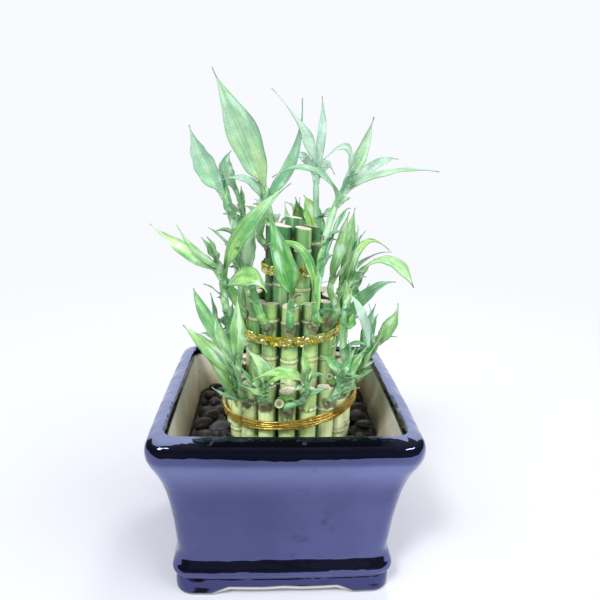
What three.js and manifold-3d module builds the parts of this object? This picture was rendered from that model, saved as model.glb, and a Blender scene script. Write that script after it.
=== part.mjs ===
// Lucky bamboo tower in a square glazed pot: 37 cut canes in three tiers, each tier tied with a gold cord,
// standing in dark pebbles.  Millimetres, +Z up, the origin at the middle of the pot's footprint.
import * as THREE from 'three';
import { mergeVertices } from 'three/addons/utils/BufferGeometryUtils.js';
import Module from 'manifold-3d';

const wasm = await Module();
wasm.setup();

// ---------------------------------------------------------------- driving dimensions

const GAP = 0.35;                  // clearance between pieces that rest against each other

const POT_HEIGHT = 104.6;
const POT_CORNER = 11;             // plan radius of the outer corners
const POT_INNER_CORNER = 7;
const POT_BOW = 0.8;               // how far the middle of a side stands out from its corners
const POT_FLOOR = 16;              // top of the floor inside
const FOOT_HALF = 63;              // half width of the pot at its feet
const FOOT_HEIGHT = 3.8;
const FOOT_LENGTH = 26;            // along each side from the corner
const FOOT_OGEE = 6;               // length of the curve from a foot up to the apron
const FOOT_THICKNESS = 10;

// Outside of the pot from the foot to the rim: [half width, height].
const POT_OUTSIDE = [
  [61.8, 0], [FOOT_HALF, 1.2], [FOOT_HALF, 7.5], [62, 13], [63.4, 15.2], [64.2, 19.3], [63.3, 23.4],
  [62, 26.4], [62.3, 34], [63, 44], [64.2, 54], [65.9, 65], [68.7, 76.5], [71.3, 84], [73.5, 89],
  [74.6, 92.5], [74.8, 96], [74.5, 100], [73.1, 103.2], [70.8, POT_HEIGHT],
];
// Inside of the pot from the rim to the floor.
const POT_INSIDE = [[66.4, POT_HEIGHT], [64.6, 103.6], [64.2, 101.5], [62.6, 84], [58.4, 62], [56.6, 40]];
const POT_FLOOR_HALF = 55;

const PEBBLE_LEVEL = 79;           // top of the bed that the loose pebbles lie in
const PEBBLE_SIZE = 6.4;           // half length of a common pebble
const PEBBLE_PITCH = 12.6;

const BUNDLE_X = 3.5;              // the bundle stands a little right of the pot's middle
const CANE_RADIUS = 5.35;
const CANE_RING_RADIUS = 5.62;     // at a node
const CANE_SIDES = 8;
const INTERNODE = 23;
const NODE_RISE = 1.6;             // half height of the swelling at a node
const CUT_ABOVE_NODE = 9;          // least length of cane above its last node

// Three tiers of canes round one in the centre; `exposed` is the height from which a tier shows.
const TIERS = {
  outer: { count: 18, radius: 34.6, phase: -4.6, top: 118, exposed: 78, shootHeight: 110 },
  middle: { count: 12, radius: 23.1, phase: -4.4, top: 164, exposed: 112, shootHeight: 153 },
  inner: { count: 6, radius: 11.6, phase: 25, top: 207, exposed: 160, shootHeight: 194 },
  centre: { count: 1, radius: 0, phase: 0, top: 210, exposed: 196, shootHeight: 196 },
};
const TOP_SPREAD = 3;              // how far cut tops of one tier differ from each other

// Gold ties: the tier each one holds, the height of its middle, its tilt in degrees, and its band
// [height, depth, strands, crinkle].
const TIES = {
  lower_tie: { tier: 'outer', height: 98, tilt: 7, band: [6, 1.9, 3, 0] },
  middle_tie: { tier: 'middle', height: 144, tilt: 2.4, band: [5, 2, 1, 0.5] },
  upper_tie: { tier: 'inner', height: 182, tilt: 1.5, band: [5, 2, 1, 0.5] },
};

const BLADE_THICKNESS = 1;
const BLADE_CHANNEL = 0.22;        // how far a blade's edges stand above its midrib, in half widths
const BLADE_STEPS = 4;
const SMALL_BLADE = 6;              // width up to which a blade takes one step less
const STEM_SIDES = 5;
const TIE_SIDES = 30;

// Shoots that give the plant its outline.  A shoot leaves its cane at `height`, and its stem runs through
// the `stem` points.  Each leaf leaves the stem at the share `at` of its length, and passes `mid` on its way
// to `tip`.
const PLACED_SHOOTS = [
  { tier: 'inner', cane: 5, height: 194, radius: 2.2, stem: [[-15, -4, 211], [-13, -3, 228]],
    leaves: [
      { at: 0.95, mid: [-26, -4, 260], tip: [-44, 4, 292], width: 18, turn: 80 },
      { at: 0.8, mid: [-23, -8, 231], tip: [-38, -12, 231], width: 4.5, turn: 20 },
      { at: 0.88, mid: [1, -6, 248], tip: [6, -4, 277], width: 8, turn: -70 },
    ] },
  { tier: 'middle', cane: 12, height: 152, radius: 2.3,
    stem: [[-19, -26, 170], [-23, -22, 185], [-30, -15, 205], [-37, -8, 223]],
    leaves: [
      { at: 1, mid: [-49, -4, 242], tip: [-57, 2, 261], width: 13, turn: 75 },
      { at: 0.92, mid: [-38, -3, 231], tip: [-46, 4, 238], width: 5, turn: 60 },
      { at: 0.55, mid: [-22, -24, 198], tip: [-17, -22, 209], width: 8, turn: -60 },
    ] },
  { tier: 'outer', cane: 16, height: 107, radius: 2.6,
    stem: [[-33, -21, 148], [-36, -20, 165], [-38, -18, 184]],
    leaves: [
      { at: 0.97, mid: [-61, -2, 191], tip: [-83, 10, 204], width: 8.8, turn: 60 },
      { at: 1, mid: [-52, -16, 192], tip: [-63, -14, 207], width: 4.5, turn: 60 },
      { at: 1, mid: [-43, -22, 194], tip: [-48, -24, 202], width: 5, turn: 50 },
      { at: 0.98, mid: [-41, -28, 196], tip: [-44, -34, 204], width: 7, turn: 50 },
      { at: 0.93, mid: [-22, -31, 210], tip: [0, -24, 232], width: 10, turn: -75 },
      { at: 0.86, mid: [-22, -34, 182], tip: [-12, -42, 176], width: 12, turn: -55 },
    ] },
  { tier: 'outer', cane: 17, height: 107, radius: 2.6, stem: [[-28, -36, 132]],
    leaves: [
      { at: 0.9, mid: [-46, -26, 158], tip: [-53, -24, 173], width: 8.5, turn: 70 },
      { at: 0.95, mid: [-37, -34, 148], tip: [-40, -32, 161], width: 7.5, turn: 70 },
      { at: 1, mid: [-28, -38, 154], tip: [-28, -34, 172], width: 9, turn: 0 },
      { at: 0.8, mid: [-44, -44, 145], tip: [-56, -44, 158], width: 10, turn: 55 },
      { at: 0.7, mid: [-35, -50, 140], tip: [-48, -52, 156], width: 4, turn: 40 },
    ] },
  { tier: 'outer', cane: 18, height: 108, radius: 2, stem: [[-14, -44, 119], [-11, -47, 126]],
    leaves: [
      { at: 0.9, mid: [-14, -48, 136], tip: [-23, -46, 146], width: 8, turn: 70 },
      { at: 0.7, mid: [-16, -52, 123], tip: [-25, -56, 129], width: 6, turn: 40 },
    ] },
  { tier: 'outer', cane: 1, height: 107, radius: 2, stem: [[8, -43, 119], [9, -45, 126]],
    leaves: [
      { at: 1, mid: [8, -47, 136], tip: [9, -44, 146], width: 6.5, turn: 0 },
      { at: 0.95, mid: [-3, -50, 134], tip: [-19, -52, 130], width: 6.5, turn: 45 },
      { at: 0.9, mid: [13, -47, 131], tip: [18, -50, 132], width: 4, turn: -30 },
    ] },
  { tier: 'outer', cane: 3, height: 109, radius: 2.4, stem: [[31, -37, 121], [35, -38, 133]],
    leaves: [
      { at: 0.7, mid: [26, -40, 134], tip: [18, -41, 140], width: 7.5, turn: 60 },
      { at: 0.9, mid: [36, -36, 140], tip: [34, -34, 147], width: 5, turn: 80 },
      { at: 1, mid: [44, -38, 141], tip: [34, -50, 143], width: 4, turn: 0 },
    ] },
  { tier: 'outer', cane: 5, height: 111, radius: 2.6, stem: [[42, -20, 124], [50, -28, 143]],
    leaves: [
      { at: 1, mid: [58, -36, 156], tip: [60, -38, 170], width: 9.5, turn: -80 },
      { at: 0.97, mid: [51, -30, 155], tip: [46, -30, 167], width: 7, turn: -85 },
      { at: 0.93, mid: [44, -27, 158], tip: [37, -28, 170], width: 5.5, turn: 80 },
      { at: 0.6, mid: [45, -44, 132], tip: [36, -56, 133], width: 5, turn: -20 },
    ] },
  { tier: 'outer', cane: 4, height: 111, radius: 2.4,
    stem: [[33, -26, 139], [33, -26, 161], [36, -20, 174], [39, -18, 179]],
    leaves: [
      { at: 0.98, mid: [49, -20, 189], tip: [72, -26, 176], width: 8.5, turn: -40 },
      { at: 0.7, mid: [43, -10, 197], tip: [60, -8, 194], width: 4.5, turn: -50 },
      { at: 0.55, mid: [36, -30, 157], tip: [38, -31, 167], width: 8, turn: -80 },
      { at: 0.97, mid: [40, -22, 170], tip: [46, -26, 178], width: 5.5, turn: -60 },
      { at: 0.4, mid: [41, -28, 143], tip: [47, -31, 141], width: 3.5, turn: -20 },
      { at: 0.9, mid: [41, -6, 190], tip: [42, 2, 207], width: 5, turn: -80 },
    ] },
  { tier: 'middle', cane: 3, height: 154, radius: 2.2, stem: [[25, -16, 171], [26, -16, 180]],
    leaves: [
      { at: 1, mid: [30, -12, 200], tip: [35, -8, 216], width: 9, turn: -80 },
      { at: 0.9, mid: [33, -22, 189], tip: [34, -26, 205], width: 5, turn: -60 },
    ] },
  { tier: 'middle', cane: 2, height: 153, radius: 2.4,
    stem: [[16, -30, 158], [16, -29, 177], [19, -24, 197], [24, -20, 217], [31, -18, 232]],
    leaves: [
      { at: 1, mid: [39, -14, 250], tip: [45, -12, 268], width: 7.5, turn: -80 },
      { at: 0.95, mid: [54, -17, 239], tip: [83, -15, 240], width: 4.2, turn: -45 },
      { at: 0.97, mid: [49, -8, 243], tip: [62, -4, 246], width: 6, turn: -75 },
      { at: 1, mid: [30, -22, 251], tip: [17, -26, 245], width: 3.6, turn: 40 },
      { at: 0.93, mid: [10, -24, 240], tip: [-10, -28, 235], width: 3.4, turn: 40 },
      { at: 0.88, mid: [30, -26, 226], tip: [25, -30, 221], width: 5, turn: 40 },
      { at: 0.55, mid: [26, -28, 212], tip: [32, -30, 220], width: 3.6, turn: -40 },
      { at: 0.42, mid: [7, -29, 196], tip: [-13, -28, 199], width: 6, turn: 50 },
    ] },
  { tier: 'inner', cane: 2, height: 194, radius: 2.1, stem: [[17, -4, 212], [15, -4, 238]],
    leaves: [
      { at: 1, mid: [6.5, -8, 260], tip: [-11, -10, 281], width: 5.8, turn: 70 },
      { at: 0.97, mid: [20, 0, 259], tip: [18, 6, 279], width: 6.5, turn: -85 },
      { at: 0.93, mid: [21, 4, 242], tip: [27, 6, 236], width: 6.5, turn: -60 },
      { at: 0.95, mid: [8, 2, 246], tip: [1, 4, 244], width: 4, turn: 40 },
      { at: 0.35, mid: [14, -2, 218], tip: [9, -1, 226], width: 9, turn: 80 },
    ] },
  { tier: 'middle', cane: 10, height: 152, radius: 1.7, stem: [[-24, 6, 190], [-27, 6, 212], [-31, 5, 226]],
    leaves: [
      { at: 1, mid: [-35, 6, 237], tip: [-34, 10, 247], width: 9.5, turn: 75 },
      { at: 0.75, mid: [-31, 0, 216], tip: [-36, 0, 221], width: 2.8, turn: 50 },
    ] },
  { tier: 'middle', cane: 1, height: 152, radius: 2.2, stem: [[1, -32, 164], [2, -34, 172]],
    leaves: [
      { at: 1, mid: [-3, -40, 192], tip: [-12, -34, 218], width: 13.5, turn: 85 },
    ] },
  { tier: 'inner', cane: 3, height: 193, radius: 2, stem: [[13, 19, 200], [9, 21, 205]],
    leaves: [
      { at: 1, mid: [7, 20, 213], tip: [5, 16, 220], width: 9.5, turn: 0 },
      { at: 0.85, mid: [16, 32, 214], tip: [21, 46, 213], width: 8, turn: 20 },
      { at: 1, mid: [5, 33, 213], tip: [-1, 44, 216], width: 7.5, turn: -20 },
    ] },
  { tier: 'inner', cane: 4, height: 190, radius: 2, stem: [[-7, 20, 197], [-9, 24, 204]],
    leaves: [
      { at: 1, mid: [-15, 34, 214], tip: [-21, 46, 217], width: 8, turn: 15 },
      { at: 0.9, mid: [-7, 39, 208], tip: [-6, 53, 203], width: 7, turn: 0 },
      { at: 0.8, mid: [-18, 28, 210], tip: [-27, 31, 214], width: 7, turn: 30 },
    ] },
];

// Shoots round the sides and the back grow by rule: [tier, cane, stem length, lean in degrees, number of
// leaves, length of a common leaf].
const BACK_SHOOTS = [
  ['outer', 6, 16, 16, 3, 30], ['outer', 8, 44, 20, 5, 44], ['outer', 10, 28, 26, 4, 44],
  ['outer', 12, 44, 20, 5, 44], ['outer', 14, 18, 16, 3, 30], ['middle', 5, 20, 16, 4, 36],
  ['middle', 7, 16, 26, 5, 44], ['middle', 9, 24, 16, 4, 38],
];
const LEAF_SPREAD = 42;            // how far leaves turn to either side of their shoot, degrees
const LEAF_RISE = [38, 78];        // from the lowest leaf of a shoot to the highest, degrees
const LEAF_VARY = 0.15;            // share by which a leaf is shorter or longer than the common one
const LEAF_WIDTH = [6.5, 10];
const LEAF_TURN = 45;              // how far a blade may turn about its own midrib, degrees

// ---------------------------------------------------------------- helpers

const UP = new THREE.Vector3(0, 0, 1);
const radians = THREE.MathUtils.degToRad;
const lerp = THREE.MathUtils.lerp;
const at = (point) => new THREE.Vector3(...point);

// A repeatable draw from 0 to 1 for each whole number.
function chance(number) {
  const wave = Math.sin(number * 12.9898 + 4.1414) * 43758.5453;
  return wave - Math.floor(wave);
}

// Keeps only the positions, with shared vertices merged, so that the surface is closed.
function bare(geometry) {
  const copy = geometry.clone();
  copy.deleteAttribute('normal');
  copy.deleteAttribute('uv');
  return mergeVertices(copy, 1e-4);
}

function solid(geometry) {
  const { attributes, index } = bare(geometry);
  const mesh = new wasm.Mesh({
    numProp: 3,
    vertProperties: new Float32Array(attributes.position.array),
    triVerts: new Uint32Array(index.array),
  });
  return new wasm.Manifold(mesh);
}

function geometryOf(manifold) {
  const { vertProperties, triVerts } = manifold.getMesh();
  const geometry = new THREE.BufferGeometry();
  geometry.setAttribute('position', new THREE.BufferAttribute(new Float32Array(vertProperties), 3));
  geometry.setIndex(new THREE.BufferAttribute(new Uint32Array(triVerts), 1));
  geometry.computeVertexNormals();
  return geometry;
}

function mapVertices(geometry, move) {
  const position = geometry.attributes.position;
  const vertex = new THREE.Vector3();
  for (let i = 0; i < position.count; i++) {
    vertex.fromBufferAttribute(position, i);
    move(vertex);
    position.setXYZ(i, vertex.x, vertex.y, vertex.z);
  }
  return geometry;
}

// A lathed solid whose axis stands up: profile points are [radius, height].
function turned(profile, sides) {
  const points = profile.map(([radius, height]) => new THREE.Vector2(radius, height));
  return new THREE.LatheGeometry(points, sides).rotateX(Math.PI / 2);
}

// Bends a straight tube along a curve.  `halfWidth` and `halfDepth` give its section at each share of the
// length, and `lift` raises the section's sides above its middle, in half widths.
function swept(curve, sides, steps, { halfWidth, halfDepth, side, lift = 0 }) {
  const tube = new THREE.CylinderGeometry(1, 1, 1, sides, steps);
  return mapVertices(tube, (vertex) => {
    const share = THREE.MathUtils.clamp(vertex.y + 0.5, 0, 1);
    const tangent = curve.getTangent(share);
    const across = side(share, tangent);
    const above = new THREE.Vector3().crossVectors(across, tangent);
    const offset = vertex.x * halfWidth(share);
    const height = vertex.z * halfDepth(share) + Math.abs(offset) * lift;
    vertex.copy(curve.getPoint(share)).addScaledVector(across, offset).addScaledVector(above, height);
  });
}

// ---------------------------------------------------------------- pot and pebbles

const POT_ARC_STEPS = 3;
const POT_SIDE_STEPS = 3;
const POT_STEPS = 4 * (POT_ARC_STEPS + POT_SIDE_STEPS);

// The point of a rounded, slightly bowed square at one of its steps.
function squarePoint(step, half, corner) {
  const perSide = POT_ARC_STEPS + POT_SIDE_STEPS;
  const quarter = Math.floor(step / perSide) % 4;
  const local = step % perSide;
  const straight = half - corner;
  const point = new THREE.Vector2();
  if (local < POT_SIDE_STEPS) {
    const along = local / POT_SIDE_STEPS;
    const bow = POT_BOW * 4 * along * (1 - along);
    point.set(half + bow, lerp(-straight, straight, along));
  } else {
    const angle = ((local - POT_SIDE_STEPS) / POT_ARC_STEPS) * (Math.PI / 2);
    point.set(straight + corner * Math.cos(angle), straight + corner * Math.sin(angle));
  }
  return point.rotateAround(new THREE.Vector2(), (quarter * Math.PI) / 2);
}

// Turns a lathed solid into one with a square plan: each turn step becomes a step round the square.
function squared(profile, cornerAt) {
  const shape = turned(profile, POT_STEPS);
  return mapVertices(shape, (vertex) => {
    const half = Math.hypot(vertex.x, vertex.y);
    if (half < 1e-6) return;
    const turn = Math.atan2(vertex.y, vertex.x) / (2 * Math.PI);
    const step = (Math.round(turn * POT_STEPS) + POT_STEPS) % POT_STEPS;
    const point = squarePoint(step, half, cornerAt(half, vertex.z));
    vertex.set(point.x, point.y, vertex.z);
  });
}

// The arch between two feet, open below, through the pot from side to side.
function footArch() {
  const reach = FOOT_HALF - FOOT_LENGTH;
  const arch = new THREE.Shape();
  arch.moveTo(-reach, -1);
  arch.lineTo(-reach, 0);
  arch.bezierCurveTo(-reach + 1, 2, -reach + 4, FOOT_HEIGHT - 1, -reach + FOOT_OGEE, FOOT_HEIGHT);
  arch.lineTo(reach - FOOT_OGEE, FOOT_HEIGHT);
  arch.bezierCurveTo(reach - 4, FOOT_HEIGHT - 1, reach - 1, 2, reach, 0);
  arch.lineTo(reach, -1);
  arch.closePath();
  const length = 4 * FOOT_HALF;
  const cutter = new THREE.ExtrudeGeometry(arch, { depth: length, bevelEnabled: false, curveSegments: 4 });
  return cutter.translate(0, 0, -length / 2).rotateX(Math.PI / 2);
}

function potGeometry() {
  const profile = [[0, 0], ...POT_OUTSIDE, ...POT_INSIDE, [POT_FLOOR_HALF, POT_FLOOR], [0, POT_FLOOR]];
  const inside = (half, height) => height > POT_FLOOR - 1 && half < potInsideHalf(height) + 1;
  const body = squared(profile, (half, height) => (inside(half, height) ? POT_INNER_CORNER : POT_CORNER));
  const recessHalf = FOOT_HALF - FOOT_THICKNESS;
  const recess = new THREE.BoxGeometry(2 * recessHalf, 2 * recessHalf, 2 * FOOT_HEIGHT);
  return geometryOf(
    solid(body)
      .subtract(solid(footArch()))
      .subtract(solid(footArch().rotateZ(Math.PI / 2)))
      .subtract(solid(recess)),
  );
}

// Half width of the space inside the pot at a height.
function potInsideHalf(height) {
  const wall = [...POT_INSIDE, [POT_FLOOR_HALF, POT_FLOOR]];
  for (let i = 1; i < wall.length; i++) {
    const [upperHalf, upper] = wall[i - 1];
    const [lowerHalf, lower] = wall[i];
    if (height <= upper && height >= lower) {
      return lerp(lowerHalf, upperHalf, (height - lower) / Math.max(upper - lower, 1e-6));
    }
  }
  return POT_FLOOR_HALF;
}

const bundleReach = TIERS.outer.radius + CANE_RING_RADIUS;

function pebbleBedGeometry() {
  const bottom = POT_FLOOR + GAP;
  const profile = [
    [0, bottom],
    [POT_FLOOR_HALF - GAP, bottom],
    [potInsideHalf(40) - GAP, 40],
    [potInsideHalf(62) - GAP, 62],
    [potInsideHalf(PEBBLE_LEVEL) - GAP, PEBBLE_LEVEL],
    [0, PEBBLE_LEVEL],
  ];
  let bed = solid(squared(profile, () => POT_INNER_CORNER));
  const limit = potInsideHalf(PEBBLE_LEVEL) - PEBBLE_SIZE - 1;
  const rows = Math.ceil(limit / PEBBLE_PITCH);
  let number = 0;
  for (let row = -rows; row <= rows; row++) {
    for (let column = -rows; column <= rows; column++) {
      number += 1;
      const x = (column + 0.5 * (Math.abs(row) % 2)) * PEBBLE_PITCH + 3 * (chance(number) - 0.5);
      const y = row * PEBBLE_PITCH + 3 * (chance(number + 500) - 0.5);
      const clear = Math.hypot(x - BUNDLE_X, y) > bundleReach + PEBBLE_SIZE + 1;
      if (Math.abs(x) < limit && Math.abs(y) < limit && clear) {
        const pebble = new THREE.SphereGeometry(1, 5, 3);
        const length = PEBBLE_SIZE * lerp(0.8, 1.05, chance(number + 900));
        pebble.scale(length, length * 0.75, length * 0.5);
        pebble.rotateZ(Math.PI * chance(number + 1300)).translate(x, y, PEBBLE_LEVEL + 1);
        bed = bed.add(solid(pebble));
      }
    }
  }
  const hole = new THREE.CylinderGeometry(bundleReach + GAP, bundleReach + GAP, 200, 40);
  hole.rotateX(Math.PI / 2).translate(BUNDLE_X, 0, 60);
  return geometryOf(bed.subtract(solid(hole)));
}

// ---------------------------------------------------------------- canes, shoots and leaves

function caneAngle(tier, number) {
  const { count, phase } = TIERS[tier];
  return radians(phase + ((number - 1) * 360) / count);
}

function outwardOf(tier, number) {
  const angle = caneAngle(tier, number);
  return new THREE.Vector3(Math.sin(angle), -Math.cos(angle), 0);
}

function caneGeometry(tier, number) {
  const { count, radius, top, exposed } = TIERS[tier];
  const seed = count * 100 + number;
  const cut = top + TOP_SPREAD * (2 * chance(seed) - 1);
  const bottom = POT_FLOOR + GAP;
  const rings = [];
  for (let height = cut - CUT_ABOVE_NODE - 4 * chance(seed + 50); height > exposed; height -= INTERNODE) {
    rings.unshift([CANE_RADIUS, height + NODE_RISE]);
    rings.unshift([CANE_RADIUS, height - NODE_RISE], [CANE_RING_RADIUS, height]);
  }
  const profile = [[0, bottom], [CANE_RADIUS, bottom], ...rings, [CANE_RADIUS, cut], [0, cut]];
  const place = outwardOf(tier, number).multiplyScalar(radius);
  return turned(profile, CANE_SIDES).translate(BUNDLE_X + place.x, place.y, 0);
}

function bladeSide(base, tip, turn) {
  const heading = new THREE.Vector3(tip.x - base.x, tip.y - base.y, 0).normalize();
  const level = new THREE.Vector3().crossVectors(heading, UP);
  return (share, tangent) => {
    const across = level.clone().addScaledVector(tangent, -level.dot(tangent)).normalize();
    return across.applyAxisAngle(tangent, -radians(turn));
  };
}

// A lance-shaped, channelled blade that rises from its stem, is widest near a third, and ends in a point.
function leafGeometry(base, { mid, tip, width, turn }) {
  const middle = at(mid);
  const end = at(tip);
  const control = middle.clone().multiplyScalar(2).addScaledVector(base, -0.5).addScaledVector(end, -0.5);
  const curve = new THREE.QuadraticBezierCurve3(base, control, end);
  const outline = (share) => Math.max(Math.sin(Math.PI * (0.06 + 0.94 * share) ** 0.8), 0.05);
  const steps = width > SMALL_BLADE ? BLADE_STEPS : BLADE_STEPS - 1;
  return swept(curve, 4, steps, {
    halfWidth: (share) => Math.max((width / 2) * outline(share), 0.5),
    halfDepth: (share) => (BLADE_THICKNESS / 2) * lerp(1.2, 0.8, share),
    side: bladeSide(base, end, turn),
    lift: BLADE_CHANNEL,
  });
}

function stemCurve({ tier, cane, height, stem }) {
  const outward = outwardOf(tier, cane);
  const { radius } = TIERS[tier];
  const along = (reach, rise) =>
    outward.clone().multiplyScalar(radius + reach).add(new THREE.Vector3(BUNDLE_X, 0, height + rise));
  const foot = [along(CANE_RADIUS - 2.5, -1), along(CANE_RADIUS + 3, 4)];
  return new THREE.CatmullRomCurve3([...foot, ...stem.map(at)]);
}

function shootGeometries(shoot) {
  const curve = stemCurve(shoot);
  const steps = shoot.stem.length + 2;
  const sideways = new THREE.Vector3(0, 1, 0);
  const stem = swept(curve, STEM_SIDES, steps, {
    halfWidth: (share) => shoot.radius * lerp(1, 0.7, share),
    halfDepth: (share) => shoot.radius * lerp(1, 0.7, share),
    side: (share, tangent) => new THREE.Vector3().crossVectors(tangent, sideways).normalize(),
  });
  const leaves = shoot.leaves.map((leaf) => leafGeometry(curve.getPoint(leaf.at), leaf));
  return [stem, ...leaves];
}

// A shoot of the sides and the back: its leaves turn to the left and the right in turn, and rise more and
// more towards its top.
function ruledShoot([tier, cane, length, lean, count, leafLength]) {
  const outward = outwardOf(tier, cane);
  const { radius, shootHeight } = TIERS[tier];
  const foot = outward.clone().multiplyScalar(radius + CANE_RADIUS + 3);
  foot.add(new THREE.Vector3(BUNDLE_X, 0, shootHeight + 4));
  const direction = outward.clone().multiplyScalar(Math.sin(radians(lean)));
  direction.addScaledVector(UP, Math.cos(radians(lean)));
  const top = foot.clone().addScaledVector(direction, length);
  const half = foot.clone().addScaledVector(direction, length / 2).addScaledVector(outward, 2);
  const leaves = [];
  for (let number = 0; number < count; number++) {
    const seed = TIERS[tier].count * 1000 + cane * 10 + number;
    const share = number / (count - 1);
    const from = foot.clone().lerp(top, lerp(0.45, 1, share));
    const swing = (number % 2 ? 1 : -1) * LEAF_SPREAD * lerp(1, 0.4, share) * lerp(0.7, 1.2, chance(seed));
    const heading = outward.clone().applyAxisAngle(UP, radians(swing));
    const rise = radians(lerp(LEAF_RISE[0], LEAF_RISE[1], share));
    const reach = leafLength * lerp(1 - LEAF_VARY, 1 + LEAF_VARY, chance(seed + 300));
    const run = heading.clone().multiplyScalar(reach * Math.cos(rise));
    const tip = from.clone().add(run).addScaledVector(UP, reach * Math.sin(rise));
    const droop = lerp(0.14, 0.04, share) * reach;
    const mid = from.clone().lerp(tip, 0.5).addScaledVector(UP, droop);
    const width = lerp(LEAF_WIDTH[0], LEAF_WIDTH[1], chance(seed + 600));
    const turn = LEAF_TURN * (2 * chance(seed + 800) - 1);
    leaves.push({ at: lerp(0.5, 1, share), mid: mid.toArray(), tip: tip.toArray(), width, turn });
  }
  return { tier, cane, height: shootHeight, radius: 2.1, stem: [half.toArray(), top.toArray()], leaves };
}

// ---------------------------------------------------------------- ties

function tieGeometry({ tier, height, tilt, band }) {
  const [bandHeight, bandDepth, strands, crinkle] = band;
  const slope = radians(tilt);
  const reach = TIERS[tier].radius + CANE_RING_RADIUS + GAP;
  const inner = reach / Math.cos(slope) + (bandHeight / 2) * Math.tan(slope) + 0.2;
  const profile = [];
  for (let strand = 0; strand < strands; strand++) {
    const bottom = bandHeight * (strand / strands - 0.5);
    const step = bandHeight / strands;
    profile.push([inner + bandDepth * 0.55, bottom], [inner + bandDepth, bottom + step / 2]);
  }
  profile.push([inner + bandDepth * 0.55, bandHeight / 2], [inner, bandHeight / 2 - 0.6]);
  profile.push([inner, -bandHeight / 2 + 0.6], profile[0]);
  const ring = turned(profile, TIE_SIDES);
  let number = 0;
  const lumpy = mapVertices(bare(ring), (vertex) => {
    number += 1;
    const outer = Math.hypot(vertex.x, vertex.y) > inner + 0.1;
    const grow = outer ? 1 + (crinkle * chance(number)) / inner : 1;
    const stretch = 1 + 0.2 * crinkle * (chance(number + 70) - 0.5);
    vertex.set(vertex.x * grow, vertex.y * grow, vertex.z * stretch);
  });
  lumpy.rotateY(-slope).translate(BUNDLE_X, 0, height);
  return geometryOf(solid(lumpy));
}

// ---------------------------------------------------------------- assembly

const glaze = new THREE.MeshStandardMaterial({ color: 0x1c1a33, roughness: 0.12, metalness: 0 });
const stone = new THREE.MeshStandardMaterial({ color: 0x2f2924, roughness: 0.35, metalness: 0 });
const gold = new THREE.MeshStandardMaterial({ color: 0xd9a62a, roughness: 0.28, metalness: 1 });
const leafGreen = new THREE.MeshStandardMaterial({ color: 0x6faa4c, roughness: 0.5, metalness: 0 });

const plant = new THREE.Group();

function addPiece(name, geometry, material) {
  const mesh = new THREE.Mesh(geometry, material);
  mesh.name = name;
  plant.add(mesh);
}

addPiece('pot', potGeometry(), glaze);
addPiece('pebble_bed', pebbleBedGeometry(), stone);

const shoots = [...PLACED_SHOOTS, ...BACK_SHOOTS.map(ruledShoot)];
for (const [tier, { count }] of Object.entries(TIERS)) {
  for (let number = 1; number <= count; number++) {
    let piece = solid(caneGeometry(tier, number));
    for (const shoot of shoots.filter((one) => one.tier === tier && one.cane === number)) {
      for (const geometry of shootGeometries(shoot)) piece = piece.add(solid(geometry));
    }
    const name = count === 1 ? `${tier}_cane` : `${tier}_cane_${String(number).padStart(2, '0')}`;
    addPiece(name, geometryOf(piece), leafGreen);
  }
}

for (const [name, tie] of Object.entries(TIES)) addPiece(name, tieGeometry(tie), gold);

export default plant;
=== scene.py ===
"""A lucky bamboo tower in a square glazed pot: its fine forms and finishes, built over the fixed frame."""
import math
from itertools import pairwise
from math import cos, pi, radians, sin, tau

import bpy
from mathutils import Matrix, Vector, noise


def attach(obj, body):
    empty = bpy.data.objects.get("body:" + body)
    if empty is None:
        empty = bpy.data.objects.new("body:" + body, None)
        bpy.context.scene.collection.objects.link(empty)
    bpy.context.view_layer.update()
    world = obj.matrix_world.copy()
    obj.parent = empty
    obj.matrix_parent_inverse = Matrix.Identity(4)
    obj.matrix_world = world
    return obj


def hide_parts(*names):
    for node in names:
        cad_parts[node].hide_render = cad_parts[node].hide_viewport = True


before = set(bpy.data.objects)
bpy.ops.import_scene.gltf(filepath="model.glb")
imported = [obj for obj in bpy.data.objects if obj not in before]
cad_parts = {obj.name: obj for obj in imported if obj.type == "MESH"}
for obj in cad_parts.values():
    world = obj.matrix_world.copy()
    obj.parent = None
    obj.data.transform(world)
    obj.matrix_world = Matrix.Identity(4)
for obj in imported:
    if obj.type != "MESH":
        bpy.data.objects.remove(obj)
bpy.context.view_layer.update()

MM = 0.001
UP = Vector((0, 0, 1))

# ---------- camera

CAMERA_PLACE = Vector((-0.0116, -0.3142, 0.2482))
CAMERA_PITCH = radians(15.57)       # below the horizon
CAMERA_YAW = radians(3.65)          # towards +X
CAMERA_ROLL = radians(1.8)
CAMERA_LENS = 31.8                       # millimetres, for a sensor 36 mm wide


def add_camera():
    data = bpy.data.cameras.new("camera")
    data.lens = CAMERA_LENS
    data.sensor_width = 36
    data.clip_start = 0.01
    data.clip_end = 100
    camera = bpy.data.objects.new("camera", data)
    bpy.context.scene.collection.objects.link(camera)
    level = cos(CAMERA_PITCH)
    heading = Vector((sin(CAMERA_YAW) * level, cos(CAMERA_YAW) * level, -sin(CAMERA_PITCH)))
    right = Vector((cos(CAMERA_YAW), -sin(CAMERA_YAW), 0))
    axes = Matrix((right, right.cross(heading), -heading)).transposed()
    turn = axes @ Matrix.Rotation(CAMERA_ROLL, 3, "Z")
    camera.matrix_world = Matrix.Translation(CAMERA_PLACE) @ turn.to_4x4()
    bpy.context.scene.camera = camera


add_camera()

# ---------- small helpers


def lerp(start, end, share):
    return start + (end - start) * share


def smooth(start, end, value):
    """0 below start, 1 above end, and an even ease between them."""
    share = min(max((value - start) / (end - start), 0), 1)
    return share * share * (3 - 2 * share)


def chance(number):
    """A repeatable draw from 0 to 1 for each whole number."""
    wave = sin(number * 12.9898 + 4.1414) * 43758.5453
    return wave - math.floor(wave)


def between(low, high, number):
    return lerp(low, high, chance(number))


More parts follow.
